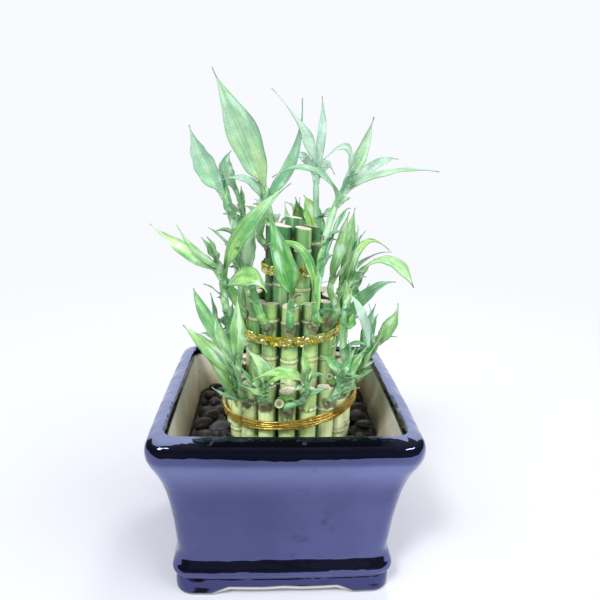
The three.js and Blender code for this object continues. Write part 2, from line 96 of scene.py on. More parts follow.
def smooth_path(points):
    """A function from 0..1 to a place on the smooth curve through the points, with centripetal spacing."""
    stops = [2 * points[0] - points[1], *points, 2 * points[-1] - points[-2]]

    def place(share):
        reach = min(max(share, 0), 1) * (len(points) - 1)
        span = min(int(reach), len(points) - 2)
        local = reach - span
        before, start, end, after = stops[span:span + 4]
        first = math.sqrt((start - before).length) or 1
        middle = math.sqrt((end - start).length) or 1
        last = math.sqrt((after - end).length) or 1
        leave = (start - before) / first - (end - before) / (first + middle) + (end - start) / middle
        arrive = (end - start) / middle - (after - start) / (middle + last) + (after - end) / last
        leave, arrive = leave * middle, arrive * middle
        square, cube = local ** 2, local ** 3
        rise = 3 * square - 2 * cube
        return (start * (1 - rise) + end * rise + leave * (cube - 2 * square + local)
                + arrive * (cube - square))

    return place


def tangent_of(path, share, step=0.01):
    return (path(min(share + step, 1)) - path(max(share - step, 0))).normalized()


# ---------- finishes


class Value:
    """What one socket of a finish gives.  Arithmetic on it adds Math nodes."""

    def __init__(self, finish, socket):
        self.finish = finish
        self.socket = socket

    def _math(self, operation, *terms):
        return self.finish.node("ShaderNodeMath", dict(enumerate(terms)), operation=operation)

    def __add__(self, other):
        return self._math("ADD", self, other)

    def __sub__(self, other):
        return self._math("SUBTRACT", self, other)

    def __rsub__(self, other):
        return self._math("SUBTRACT", other, self)

    def __mul__(self, other):
        return self._math("MULTIPLY", self, other)

    def __pow__(self, other):
        return self._math("POWER", self, other)

    __radd__ = __add__
    __rmul__ = __mul__

    def size(self):
        return self._math("ABSOLUTE", self)

    def most(self, other):
        return self._math("MAXIMUM", self, other)

    def ease(self, start, end):
        """0 where this is at start, 1 where it is at end, and an even ease between them."""
        feeds = {"Value": self, "From Min": start, "From Max": end}
        return self.finish.node("ShaderNodeMapRange", feeds, interpolation_type="SMOOTHSTEP")


class Finish:
    """A procedural material."""

    def __init__(self, name, **constants):
        self.material = bpy.data.materials.new(name)
        self.material.use_nodes = True
        self.tree = self.material.node_tree
        self.surface = self.tree.nodes["Principled BSDF"]
        for socket, constant in constants.items():
            self.feed(self.surface, socket.replace("_", " ").title().replace("Ior", "IOR"), constant)
        self.place = self.node("ShaderNodeTexCoord", output="Object")

    def feed(self, node, key, value):
        socket = node.inputs[key]
        if isinstance(value, Value):
            self.tree.links.new(value.socket, socket)
        elif isinstance(value, tuple) and socket.type == "RGBA":
            socket.default_value = (*value, 1)
        else:
            socket.default_value = value

    def node(self, kind, feeds=None, output=0, **settings):
        """A node of any kind: its settings first, then the values or links of its sockets."""
        node = self.tree.nodes.new(kind)
        for key, value in settings.items():
            setattr(node, key, value)
        for key, value in (feeds or {}).items():
            self.feed(node, key, value)
        return Value(self, node.outputs[output])

    def noise(self, scale, detail=2, roughness=0.5, place=None):
        feeds = {"Vector": place or self.place, "Scale": scale, "Detail": detail, "Roughness": roughness}
        return self.node("ShaderNodeTexNoise", feeds)

    def stretched(self, x, y, z):
        """Object coordinates scaled by axis, for patterns that run along one of them."""
        return self.node("ShaderNodeMapping", {"Vector": self.place, "Scale": (x, y, z)})

    def painted(self, attribute):
        return self.node("ShaderNodeAttribute", output="Fac", attribute_name=attribute)

    def point(self, x, y, z):
        return self.node("ShaderNodeCombineXYZ", {"X": x, "Y": y, "Z": z})

    def axis(self, name, vector=None):
        return self.node("ShaderNodeSeparateXYZ", {0: vector or self.place}, output=name)

    def mix(self, share, first, second):
        return self.node("ShaderNodeMix", {0: share, 6: first, 7: second}, output=2, data_type="RGBA")

    def layered(self, colour, *layers):
        """A colour with others laid over it in turn, each by its share."""
        for share, over in layers:
            colour = self.mix(share, colour, over)
        return colour

    def bump(self, height, strength, distance):
        return self.node("ShaderNodeBump", {"Height": height, "Strength": strength, "Distance": distance})

    def shade(self, **feeds):
        for key, value in feeds.items():
            self.feed(self.surface, key.replace("_", " ").title(), value)
        return self.material


# Heights on the pot in metres.
APRON_HIGHLIGHT = 0.0124                      # a pale line painted under the base bead: a painted highlight
LIP_HEIGHT = 0.1022                      # above it the rim's top faces up
RIM_SHEEN_HEIGHT = 0.1035                       # about here the rim is painted a paler lavender, up to its top: a painted reflection


def glaze_and_clay():
    """Dark cobalt glaze with an indigo lustre, painted highlights and painted dark reflections, and clay
    where
    `bare` is 1 or the pot wasn't `dipped`.
    """
    finish = Finish("dark_cobalt_glaze")
    height = finish.axis("Z")
    cloud = finish.noise(11, 3)
    smudge = finish.noise(38, 3, 0.65)
    dipped = finish.painted("dipped")
    undipped = 1 - (dipped + smudge * 0.2).ease(0.58, 0.64)
    bare = finish.painted("bare").most(undipped)
    # A paler band painted in the cove under the rim bead: a painted highlight.
    cove_highlight = height.ease(0.06, 0.088) ** 2 * (1 - height.ease(0.09, 0.094))
    # The feet and apron are painted darker, with near-black spots on them: painted dark reflections.
    low = 1 - height.ease(0.0112, 0.0122)
    dark_reflection_spots = finish.noise(48, 1, 0.5, finish.stretched(1, 1, 3))
    # A near-black band painted along the middle of the front rim's top: a painted dark reflection of the
    # plant.
    front = (finish.axis("Y") + 0.06).ease(0, -0.004)
    lip_end = (finish.axis("X") + smudge * 0.03 - 0.018).size().ease(0.045, 0.056)
    painted_lip_reflection = (height - LIP_HEIGHT).ease(0, 0.0006) * front * (1 - lip_end) * smudge.ease(0.3, 0.42)
    lustre = finish.layered(
        finish.mix(cloud.ease(0.3, 0.7), (0.08, 0.085, 0.2), (0.115, 0.125, 0.285)),
        (cove_highlight * (0.65 + cloud * 0.5), (0.18, 0.21, 0.42)),
        (low * 0.75, (0.06, 0.062, 0.17)),
        (low * dark_reflection_spots.ease(0.6, 0.68), (0.008, 0.008, 0.022)),
        # Painted highlight: a pale line round the pot under the base bead.
        ((1 - (height - APRON_HIGHLIGHT).size().ease(0.0003, 0.0011)) * 0.7, (0.3, 0.33, 0.6)),
        (smudge.ease(0.6, 0.72) * 0.45, (0.045, 0.045, 0.11)),
        # Painted reflection: a paler lavender over the rim.
        ((height - RIM_SHEEN_HEIGHT).ease(-0.003, 0.001), (0.27, 0.31, 0.52)),
        (painted_lip_reflection * 0.85, (0.02, 0.02, 0.04)),
        # Painted dark reflection: a near-black band inside the rim above the glaze's end.
        (finish.painted("edge"), (0.008, 0.007, 0.014)),
    )
    streak = finish.noise(60, 3, 0.6, finish.stretched(1, 1, 0.25))
    stain = (1 - height.ease(0.074, 0.09)) * streak.ease(0.3, 0.6)
    clay = finish.layered(
        finish.mix(streak.ease(0.35, 0.7), (0.5, 0.44, 0.31), (0.68, 0.63, 0.5)),
        (height.ease(0.083, 0.1), (0.55, 0.55, 0.5)),
        (stain * 0.6, (0.2, 0.14, 0.06)),
        (finish.noise(330, 1).ease(0.7, 0.76) * 0.6, (0.12, 0.1, 0.08)),
        # The bare strip below the glaze line is painted dark next to the glaze and pale at its lower edge:
        # painted shade of the rounded edge.
        (undipped, finish.mix(dipped.ease(0.1, 0.5), (0.42, 0.4, 0.39), (0.1, 0.1, 0.12))),
    )
    ripple = finish.noise(24, 2) + finish.noise(62, 2) * 0.5
    grain = finish.noise(700, 2)
    surface = ripple * (height.ease(0.09, 0.1) * 1.2 + 1) * (1 - bare) + grain * bare * 0.12
    return finish.shade(
        base_color=finish.mix(bare, lustre, clay),
        metallic=(1 - bare) * 0.97,
        roughness=bare * 0.6 + smudge * 0.05 + 0.03,
        normal=finish.bump(surface, 0.6, 0.0026),
    )


def polished_pebble():
    """Dark river stones, a few of them pale and lilac grey."""
    finish = Finish("polished_pebble")
    tone = finish.painted("tone")
    colour = finish.layered(
        finish.mix(tone.ease(0.0, 0.8), (0.004, 0.0035, 0.004), (0.016, 0.012, 0.011)),
        (tone.ease(0.88, 0.95), (0.07, 0.07, 0.09)),
        (finish.noise(170, 4, 0.6).ease(0.5, 0.75) * 0.3, (0.035, 0.03, 0.032)),
    )
    return finish.shade(
        base_color=colour,
        roughness=finish.noise(260, 2) * 0.3 + 0.2,
        normal=finish.bump(finish.noise(500, 3), 0.25, 0.0006),
    )


def cane_skin():
    """Finely grained skin, dark green high up and pale low down, the pale partly painted light; painted shade
    where
    `gap_shade` is 1 and round each `ring`; pale streaks painted as highlights; brown where `stain` is 1; a
    thin scar on each `ring`; a cut end where `cut` is 1."""
    finish = Finish("cane_skin")
    tone = finish.painted("tone")
    ring = finish.painted("ring")
    cut = finish.painted("cut")
    stain = finish.painted("stain")
    grain = finish.noise(800, 2, 0.6, finish.stretched(1, 1, 0.05))
    streak = finish.noise(260, 2, 0.6, finish.stretched(1, 1, 0.08))
    blotch = finish.noise(70, 3, 0.6, finish.stretched(1, 1, 0.5))
    fine_stain = finish.noise(210, 3, 0.6, finish.stretched(1, 1, 0.6))
    fibre = finish.noise(700, 4, 0.7)
    height = finish.axis("Z")
    uneven = height + blotch * 0.02
    high = finish.mix(tone, (0.045, 0.16, 0.075), (0.16, 0.33, 0.12))
    middle = finish.mix(tone, (0.13, 0.36, 0.09), (0.36, 0.54, 0.16))
    # Pale low down: partly the cane's own colour, partly painted light making up for the shade inside the
    # pot.
    low = finish.mix(tone, (0.48, 0.66, 0.24), (0.95, 0.98, 0.64))
    patch = finish.noise(34, 2).ease(0.48, 0.62) * height.ease(0.11, 0.14)
    # Painted shade on the sides turned in between the canes, and in the hollow of a stub's cut end.
    shade = finish.painted("gap_shade") * (height.ease(0.09, 0.14) * 0.25 + 0.6)
    # Painted shade in a band round each node.
    node_shade = ring.ease(0.2, 0.6) * (1 - ring.ease(0.9, 0.97))
    scar = finish.mix(finish.noise(420, 3, 0.7).ease(0.35, 0.65), (0.72, 0.68, 0.5), (0.3, 0.3, 0.13))
    husky = (stain + (fine_stain - 0.5) * 1.6).ease(0.45, 0.75)
    colour = finish.layered(
        middle,
        (uneven.ease(0.17, 0.2), high),
        (1 - uneven.ease(0.1, 0.16), low),
        (patch * 0.6, (0.08, 0.26, 0.12)),
        # Pale streaks along the cane: painted highlights.
        (streak.ease(0.48, 0.7) * 0.5, (0.5, 0.64, 0.34)),
        ((1 - streak.ease(0.3, 0.48)) * 0.4, (0.08, 0.2, 0.05)),
        (blotch.ease(0.55, 0.72) * 0.4, (0.07, 0.2, 0.06)),
        (shade, (0.02, 0.06, 0.02)),
        (node_shade * 0.55, (0.13, 0.2, 0.06)),
        (ring.ease(0.93, 0.99) * 0.75, scar),
        (husky * 0.85, finish.mix(streak.ease(0.4, 0.6), (0.025, 0.03, 0.012), (0.13, 0.14, 0.06))),
    )
    end = finish.layered(
        finish.mix(fibre.ease(0.35, 0.65), (0.82, 0.74, 0.66), (0.62, 0.5, 0.4)),
        (finish.noise(240, 3).ease(0.58, 0.7) * 0.5, (0.3, 0.2, 0.12)),
    )
    return finish.shade(
        base_color=finish.mix(cut, colour, end),
        roughness=ring * 0.2 + cut * 0.35 + husky * 0.35 + grain * 0.1 + 0.22,
        normal=finish.bump(grain * 0.6 + streak + fibre * cut * 1.5, 0.35, 0.0004),
    )


def leaf_green(name, warm, cool, green, blue, contrast):
    """A blade or a sheath: u runs across it and v along it.  Streaks and veins run lengthwise."""
    finish = Finish(name, coat_roughness=0.22)
    tone = finish.painted("tone")
    draw = finish.painted("draw") * 60
    chart = finish.node("ShaderNodeUVMap", uv_map="blade")
    side, along = finish.axis("X", chart), finish.axis("Y", chart)
    across = (side - 0.5).size() * 2
    cloud = finish.noise(85, 3, 0.6)

    def lengthwise(over, up, shift=0):
        return finish.noise(1, 2, 0.5, finish.point(side * over, along * up, draw + shift))

    sheen_noise = lengthwise(2.2, 3.5, 7)
    streak = lengthwise(4, 2.2)
    vein = lengthwise(24, 1.4)
    deep = tuple(part * 0.45 for part in green)
    shadow = tuple(part * 0.5 for part in green)
    hue = (tone + (streak - 0.5) * contrast * 1.4 + (cloud - 0.5) * 1.2).ease(0.1, 0.85)
    light = finish.mix(hue, cool, warm)
    # Lighter and darker patches: partly the leaf's own mottling, partly painted highlight and painted shade
    # of its undulations.
    bright = (streak * 0.65 + cloud * 0.35 + tone * 0.1).ease(0.5, 0.7)
    dark = 1 - (cloud * 0.6 + streak * 0.4).ease(0.38, 0.52)
    tip = (along + vein * 0.04 - (1.02 - finish.painted("dry"))).ease(0.0, 0.03)
    colour = finish.layered(
        finish.mix(hue, blue, green),
        (bright * contrast, light),
        (dark * 0.65, shadow),
        (vein.ease(0.48, 0.66) * 0.35, light),
        ((1 - vein.ease(0.3, 0.48)) * 0.5, deep),
        ((1 - across.ease(0.015, 0.08)) * 0.3, deep),
        ((1 - along.ease(0.03, 0.25)) * 0.35, light),
        # Paler leaves: partly their own colour, partly painted haze of bright light.
        (finish.painted("pale") * (0.4 + cloud), (0.5, 0.68, 0.57)),
        # Pale bluish patches: a painted sheen; where it is low, bluer patches.
        (sheen_noise.ease(0.54, 0.66) * 0.5, (0.53, 0.72, 0.61)),
        ((1 - sheen_noise.ease(0.34, 0.46)) * 0.4, blue),
        # Paler and greyer towards the top of the plant: painted haze of bright light.
        (finish.axis("Z").ease(0.2, 0.26) * 0.4, (0.33, 0.46, 0.41)),
        (across.ease(0.88, 0.97) * 0.6, (0.11, 0.22, 0.13)),
        (tip, finish.mix(vein.ease(0.4, 0.6), (0.12, 0.11, 0.1), (0.36, 0.34, 0.29))),
    )
    return finish.shade(
        base_color=colour,
        roughness=streak * 0.25 + 0.18 + tip * 0.3,
        coat_weight=(1 - tip) * 0.45,
        normal=finish.bump(vein * 0.3 + cloud * 2 + streak * 0.7, 0.6, 0.001),
    )


def dry_husk():
    finish = Finish("dry_husk")
    fibre = finish.noise(500, 4, 0.7, finish.stretched(1, 1, 0.3))
    return finish.shade(
        base_color=finish.mix(fibre.ease(0.3, 0.7), (0.05, 0.045, 0.025), (0.34, 0.3, 0.2)),
        roughness=fibre * 0.2 + 0.6,
        normal=finish.bump(fibre, 0.6, 0.0005),
    )


def gold_cord():
    """Smooth metallised cord: v runs round the bundle."""
    finish = Finish("gold_cord")
    wear = finish.noise(140, 3, 0.6)
    chart = finish.node("ShaderNodeUVMap", uv_map="blade")
    patch = finish.noise(1, 2, 0.6, finish.point(0.0, finish.axis("Y", chart) * 90, finish.axis("Z") * 300))
    colour = finish.mix(patch.ease(0.35, 0.65), (0.8, 0.48, 0.07), (0.95, 0.8, 0.22))
    return finish.shade(
        base_color=finish.mix((1 - wear.ease(0.35, 0.55)) * 0.8, colour, (0.26, 0.13, 0.01)),
        metallic=0.75 + wear * 0.2,
        roughness=wear * 0.25 + 0.15,
        normal=finish.bump(finish.noise(420, 2), 0.2, 0.0003),
    )


def gold_tinsel():
    """Crumpled foil, painted dark brown in the hollows of its crumple: painted shade."""
    finish = Finish("gold_tinsel")
    crumple = finish.noise(230, 2, 0.55)
    colour = finish.mix(finish.noise(130, 2).ease(0.35, 0.65), (0.85, 0.68, 0.07), (0.95, 0.92, 0.4))
    return finish.shade(
        # Darker in the hollows of the crumple: painted shade.
        base_color=finish.mix((1 - crumple.ease(0.36, 0.5)) * 0.85, colour, (0.2, 0.17, 0.01)),
        metallic=0.7 + crumple * 0.2,
        roughness=crumple * 0.2 + 0.12,
        normal=finish.bump(crumple, 0.5, 0.0007),
    )


GLAZE = glaze_and_clay()
PEBBLE = polished_pebble()
CANE = cane_skin()
LEAF = leaf_green(
    "leaf_blade", warm=(0.37, 0.55, 0.16), cool=(0.24, 0.5, 0.26), green=(0.12, 0.37, 0.045),
    blue=(0.05, 0.28, 0.09), contrast=0.9,
)
SHOOT = leaf_green(
    "leaf_sheath", warm=(0.4, 0.6, 0.18), cool=(0.27, 0.53, 0.28), green=(0.15, 0.4, 0.06),
    blue=(0.08, 0.34, 0.11), contrast=0.8,
)
HUSK = dry_husk()
CORD = gold_cord()
TINSEL = gold_tinsel()

# ---------- shaping


def nothing_selected():
    bpy.ops.object.select_all(action="DESELECT")


def settle(piece, name, material, nodes, angle=None):
    """Names a finished piece, puts its place in its mesh, and hands it to the frame."""
    nothing_selected()
    piece.select_set(True)
    bpy.context.view_layer.objects.active = piece
    bpy.ops.object.transform_apply(location=True, rotation=True, scale=True)
    if angle is None:
        bpy.ops.object.shade_smooth()
    else:
        bpy.ops.object.shade_smooth_by_angle(angle=radians(angle))
    piece.name = piece.data.name = name
    piece.data.materials.clear()
    piece.data.materials.append(material)
    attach(piece, "root")
    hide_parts(*nodes)


def paint(piece, **painted):
    """Stores numbers on the vertices: one for all of them, or a list with one for each."""
    for name, values in painted.items():
        if not isinstance(values, list):
            values = [values] * len(piece.data.vertices)
        piece.data.attributes.new(name, "FLOAT", "POINT").data.foreach_set("value", values)


def joined(pieces):
    nothing_selected()
    for piece in pieces:
        piece.select_set(True)
    bpy.context.view_layer.objects.active = pieces[0]
    if len(pieces) > 1:
        bpy.ops.object.join()
    return pieces[0]


def start_edit():
    bpy.ops.object.mode_set(mode="EDIT")
    bpy.ops.mesh.select_all(action="SELECT")


def end_edit():
    """Leaves edit mode with every face of the piece turned outwards."""
    bpy.ops.mesh.select_all(action="SELECT")
    bpy.ops.mesh.normals_make_consistent(inside=False)
    bpy.ops.object.mode_set(mode="OBJECT")


def turned(rings, sides):
    """A solid extruded upwards ring by ring: each ring is (radius, height)."""
    nothing_selected()
    radius, height = rings[0]
    place = (0, 0, height)
    bpy.ops.mesh.primitive_circle_add(vertices=sides, radius=radius, fill_type="NGON", location=place)
    piece = bpy.context.object
    start_edit()
    for (radius, height), (next_radius, next_height) in pairwise(rings):
        move = {"value": (0, 0, next_height - height)}
        bpy.ops.mesh.extrude_region_move(TRANSFORM_OT_translate=move)
        share = next_radius / radius
        bpy.ops.transform.resize(value=(share, share, 1), center_override=(0, 0, next_height))
    end_edit()
    bpy.ops.object.transform_apply(location=True, rotation=True, scale=True)
    return piece


def charted_grid(columns, rows, place, thickness=0, closed=False):
    """A grid laid out by place(u, v), each from 0 to 1, with its own chart; closed rolls u into a tube."""
    nothing_selected()
    bpy.ops.mesh.primitive_grid_add(x_subdivisions=columns, y_subdivisions=rows, size=1, calc_uvs=True)
    piece = bpy.context.object
    piece.data.uv_layers[0].name = "blade"
    for vertex in piece.data.vertices:
        vertex.co = place(vertex.co.x + 0.5, vertex.co.y + 0.5)
    if closed:
        start_edit()
        bpy.ops.mesh.remove_doubles(threshold=0.00001)
        end_edit()
    if thickness:
        shell = piece.modifiers.new("thickness", "SOLIDIFY")
        shell.thickness = thickness
        shell.offset = 0
        bpy.ops.object.modifier_apply(modifier=shell.name)
    return piece

# ---------- pot

# Heights and half widths of the pot, in millimetres, from its feet to the rim and down the inside.
POT_OUTSIDE = [
    (61, 0), (62, 0.15), (62.8, 1.2), (63, 3.4), (62.9, 7.5), (62.6, 10), (62.1, 11.8), (62.7, 12.5),
    (63.7, 13.3), (64.4, 14.6), (64.5, 16), (64.1, 17.6), (63.4, 19.4), (62.7, 21.4), (62, 23.4), (61.7, 25),
    (61.7, 27.5), (62.2, 34),
    (63, 44), (64.2, 54), (65.9, 65), (67.5, 72), (69.4, 78.5), (71.4, 84), (73.3, 88.6), (74.4, 92),
    (74.8, 95.8), (74.4, 99.4), (73.1, 102.2), (70.9, 103.8),
]
POT_RIM = [(68.2, 104.7), (66.2, 104.8), (64.9, 103.4), (64.2, 100.8)]
POT_INSIDE = [(64.1, 99.2), (63.4, 92), (62.2, 82), (58.4, 62), (56.6, 40), (55, 20), (53, 16)]
POT_CORNER = 11
INNER_CORNER = 7
RIM_START = 90                           # the height from which the corners turn from one to the other
POT_BOW = 0.8
POT_SEGMENTS = 20                        # round one quarter of the plan
POT_ARC = 10                             # how many of them turn the corner
FOOT_HALF = 63
FOOT_LENGTH = 26                         # along each side from the corner
FOOT_OGEE = 7                            # length of the curve from a foot up to the apron
FOOT_HEIGHT = 3.8
APRON_TOP = 11
CLOUD_DEPTH = 0.4                        # how far the apron's edge waves up and down
DIP_FEET = 1.9                           # how high above their lower edges the glaze starts
DIP_APRON = 2.6
DIP_FADE = 4                             # over which the glaze fades in above its start
GLAZE_END = 100.4                        # height inside the rim where the glaze stops
POT_UNDER = [(20, 7.5), (52, 7.5), (53, 6.5), (53.6, 0.4), (54.8, 0)]    # below, and up inside the feet
INNER_FLOOR = (30, 16)
HAND_MADE = 0.35                         # how far the sides wander
STEPS_OUTSIDE = 4                        # rings from each point of the outside to the next
STEPS_INSIDE = 3
INWARD_RINGS = 3                         # the last rings of the rim, which belong to the inside


def square_point(angle, half, corner):
    """The point of a rounded square, its sides slightly bowed, at one step round it."""
    step = angle / (pi / 2) * POT_SEGMENTS
    quarter, local = divmod(round(step) % (4 * POT_SEGMENTS), POT_SEGMENTS)
    straight = half - corner
    sides = POT_SEGMENTS - POT_ARC
    if local < sides:
        along = local / sides
        point = Vector((half + POT_BOW * 4 * along * (1 - along), lerp(-straight, straight, along)))
    else:
        turn = (local - sides) / POT_ARC * pi / 2
        point = Vector((straight + corner * cos(turn), straight + corner * sin(turn)))
    return Matrix.Rotation(quarter * pi / 2, 2) @ point


def apron_edge(x, y):
    """How high the bottom edge stands: 0 under a foot, and a waved apron between the feet."""
    along = min(abs(x), abs(y))
    reach = FOOT_HALF - FOOT_LENGTH
    arch = 1 - smooth(reach - FOOT_OGEE, reach, along)
    cloud = cos(along / (reach - FOOT_OGEE) * 2 * pi) * CLOUD_DEPTH
    return arch * (FOOT_HEIGHT - CLOUD_DEPTH + cloud)


def pot_corner_at(half, height, inside):
    if height > RIM_START:
        return lerp(POT_CORNER, INNER_CORNER, smooth(68, 65, half))
    return INNER_CORNER if inside else POT_CORNER


def add_pot():
    outside = smooth_path([Vector(point) for point in POT_OUTSIDE + POT_RIM])
    count = (len(POT_OUTSIDE) + len(POT_RIM) - 1) * STEPS_OUTSIDE
    rings = POT_UNDER + [tuple(outside(n / count)) for n in range(count + 1)]
    for start, end in pairwise(POT_INSIDE):
        shares = [n / STEPS_INSIDE for n in range(STEPS_INSIDE)]
        rings += [(lerp(start[0], end[0], share), lerp(start[1], end[1], share)) for share in shares]
    pot = turned(rings + [INNER_FLOOR], 4 * POT_SEGMENTS)
    wall_start = (len(POT_UNDER) + count - INWARD_RINGS) * 4 * POT_SEGMENTS
    marks = {"bare": [], "edge": [], "dipped": []}
    for vertex in pot.data.vertices:
        flat = Vector((vertex.co.x, vertex.co.y))
        half, height = flat.length, vertex.co.z
        inside = vertex.index >= wall_start
        corner = min(pot_corner_at(half, height, inside), half * 0.5)
        point = square_point(math.atan2(flat.y, flat.x), half, corner)
        below = smooth(APRON_TOP, 0, height) if half > 53 else 0
        lift = apron_edge(point.x, point.y) * below
        if height < 9 and half <= 54:
            lift = 0 if height > 6 else apron_edge(point.x, point.y)
        hand = noise.noise(Vector((point.x, point.y, height)) * 0.03) * HAND_MADE * smooth(8, 30, height)
        outwards = Vector((point.x, point.y, 0)).normalized() * hand
        vertex.co = (Vector((point.x, point.y, height + lift)) + outwards) * MM
        glaze_end = GLAZE_END + 0.8 * noise.noise(Vector((point.x, point.y, 0)) * 0.08)
        foot = height < 0.5 or height < 8 and half < 55
        marks["bare"].append(1 if foot or (inside and height < glaze_end) else 0)
        dip = DIP_FEET + DIP_APRON * apron_edge(point.x, point.y) / FOOT_HEIGHT
        marks["dipped"].append(max(0, min(1, 0.5 + (height - dip) / DIP_FADE)))
        # A near-black band painted on the glazed inside of the rim, above where the glaze stops: a painted
        # dark reflection.
        dark = smooth(glaze_end - 1.5, glaze_end, height) * (1 - smooth(103.2, 104.3, height))
        marks["edge"].append(dark * inside)
    paint(pot, **marks)
    settle(pot, "glazed_pot", GLAZE, ["pot"], angle=50)


add_pot()

# ---------- pebbles

BUNDLE_X = 3.5
BUNDLE_REACH = 40.6                      # from the bundle's axis to the outside of its outer canes
PEBBLE_KINDS = 7
BED_HALF = 59.8
BED_TOP = 73.5
BED_DEPTH = 8
BED_CELLS = 60                           # of the bed's grid along each side
PEBBLE_LAYERS = [(76.5, 11.2, 0), (80.5, 11.6, 400)]     # height, spacing, first draw
PEBBLE_LIMIT = 54.2                      # how far from the pot's middle a loose pebble may lie
PEBBLE_ROOM = 3                          # from the canes to the middle of a loose pebble
PEBBLE_STRAY = 2.4                       # how far a loose pebble lies from its place in the pattern
PEBBLE_RISE = 1.4
PEBBLE_TILT = 0.35


def pebble(kind):
    """One river pebble: a sphere pressed and dented into an uneven, flattened egg."""
    nothing_selected()
    bpy.ops.mesh.primitive_ico_sphere_add(subdivisions=3, radius=1)
    stone = bpy.context.object
    size = between(5, 7.6, kind)
    shape = Vector((size, size * between(0.66, 0.85, kind + 20), size * between(0.42, 0.6, kind + 40)))
    for vertex in stone.data.vertices:
        dent = 1 + 0.16 * noise.noise(vertex.co * 0.9 + Vector((kind * 7, 0, 0)))
        vertex.co = Vector((vertex.co.x * shape.x, vertex.co.y * shape.y, vertex.co.z * shape.z)) * dent * MM
    return stone


def add_pebbles():
    kinds = [pebble(kind) for kind in range(PEBBLE_KINDS)]
    placed = []
    for height, pitch, first in PEBBLE_LAYERS:
        rows = int(BED_HALF / pitch) + 1
        for row in range(-rows, rows + 1):
            for column in range(-rows, rows + 1):
                number = first + (row + 20) * 41 + column + 20
                x = (column + 0.5 * (row % 2)) * pitch + between(-PEBBLE_STRAY, PEBBLE_STRAY, number)
                y = row * pitch + between(-PEBBLE_STRAY, PEBBLE_STRAY, number + 50)
                from_canes = math.hypot(x - BUNDLE_X, y) - BUNDLE_REACH
                if max(abs(x), abs(y)) > PEBBLE_LIMIT or from_canes < PEBBLE_ROOM:
                    continue
                copy = kinds[number % PEBBLE_KINDS].copy()
                copy.data = copy.data.copy()
                bpy.context.scene.collection.objects.link(copy)
                turn = Matrix.Rotation(tau * chance(number + 90), 4, "Z")
                tilt = Matrix.Rotation(between(-PEBBLE_TILT, PEBBLE_TILT, number + 130), 4, "X")
                place = Vector((x, y, height + between(-PEBBLE_RISE, PEBBLE_RISE, number + 170))) * MM
                copy.data.transform(Matrix.Translation(place) @ turn @ tilt)
                paint(copy, tone=chance(number + 210))
                placed.append(copy)
    for kind in kinds:
        bpy.data.objects.remove(kind)
    settle(joined(placed), "loose_pebbles", PEBBLE, ["pebble_bed"])


def add_bed():
    """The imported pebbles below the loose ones: a slab with a lumpy top, which the canes pass through."""
    nothing_selected()
    bpy.ops.mesh.primitive_grid_add(x_subdivisions=BED_CELLS, y_subdivisions=BED_CELLS, size=2 * BED_HALF)
    bed = bpy.context.object
    straight = BED_HALF - INNER_CORNER
    for vertex in bed.data.vertices:
        over = Vector((abs(vertex.co.x) - straight, abs(vertex.co.y) - straight))
        if min(over) > 0:
            over = over.normalized() * max(over)
            vertex.co.x = math.copysign(straight + over.x, vertex.co.x)
            vertex.co.y = math.copysign(straight + over.y, vertex.co.y)
        vertex.co = Vector((vertex.co.x, vertex.co.y, BED_TOP + 1.5 * noise.noise(vertex.co * 0.15))) * MM
    start_edit()
    bpy.ops.mesh.extrude_region_move(TRANSFORM_OT_translate={"value": (0, 0, -BED_DEPTH * MM)})
    end_edit()
    paint(bed, tone=0)
    settle(bed, "packed_pebbles", PEBBLE, ["pebble_bed"])


add_pebbles()
add_bed()

# ---------- canes

CANE_FOOT = 16.35                        # a little above the floor of the pot
CANE_RADIUS = 5.35
CANE_SIDES = 28
INTERNODE = 23
CUT_ABOVE_NODE = 9                       # least length of cane above its last node
TOP_SPREAD = 3                           # how far cut tops of one tier differ from each other
# Each tier: number of canes, radius of their circle, first angle in degrees, height of the cut tops, height
# from which the canes show, and the height at which a shoot of the sides and the back leaves its cane.
TIERS = {
    "outer": (18, 34.6, -4.6, 118, 78, 110),
    "middle": (12, 23.1, -4.4, 164, 112, 153),
    "inner": (6, 11.6, 25, 207, 160, 194),
    "centre": (1, 0, 0, 210, 196, 196),
}
# How a node's swelling and scar stand out from the cane: (radius added, height from the node).
NODE_RINGS = [
    (0, -4.2), (0.1, -2), (0.22, -0.9), (0.38, -0.5), (0.4, 0.1), (0.2, 0.5), (0.02, 0.8), (-0.12, 1.5),
    (0, 4.4),
]


def outward_of(tier, number):
    count, _, phase = TIERS[tier][:3]
    angle = radians(phase + (number - 1) * 360 / count)
    return Vector((sin(angle), -cos(angle), 0))


def cane_heights(tier, number):
    """The height of a cane's cut end and of its nodes that show."""
    count, _, _, top, exposed, _ = TIERS[tier]
    seed = count * 100 + number
    cut = top + TOP_SPREAD * (2 * chance(seed) - 1)
    nodes = []
    height = cut - CUT_ABOVE_NODE - 4 * chance(seed + 50)
    while height > exposed:
        nodes.insert(0, height)
        height -= INTERNODE
    return cut, nodes


def node_name(tier, number):
    return "centre_cane" if tier == "centre" else f"{tier}_cane_{number:02d}"


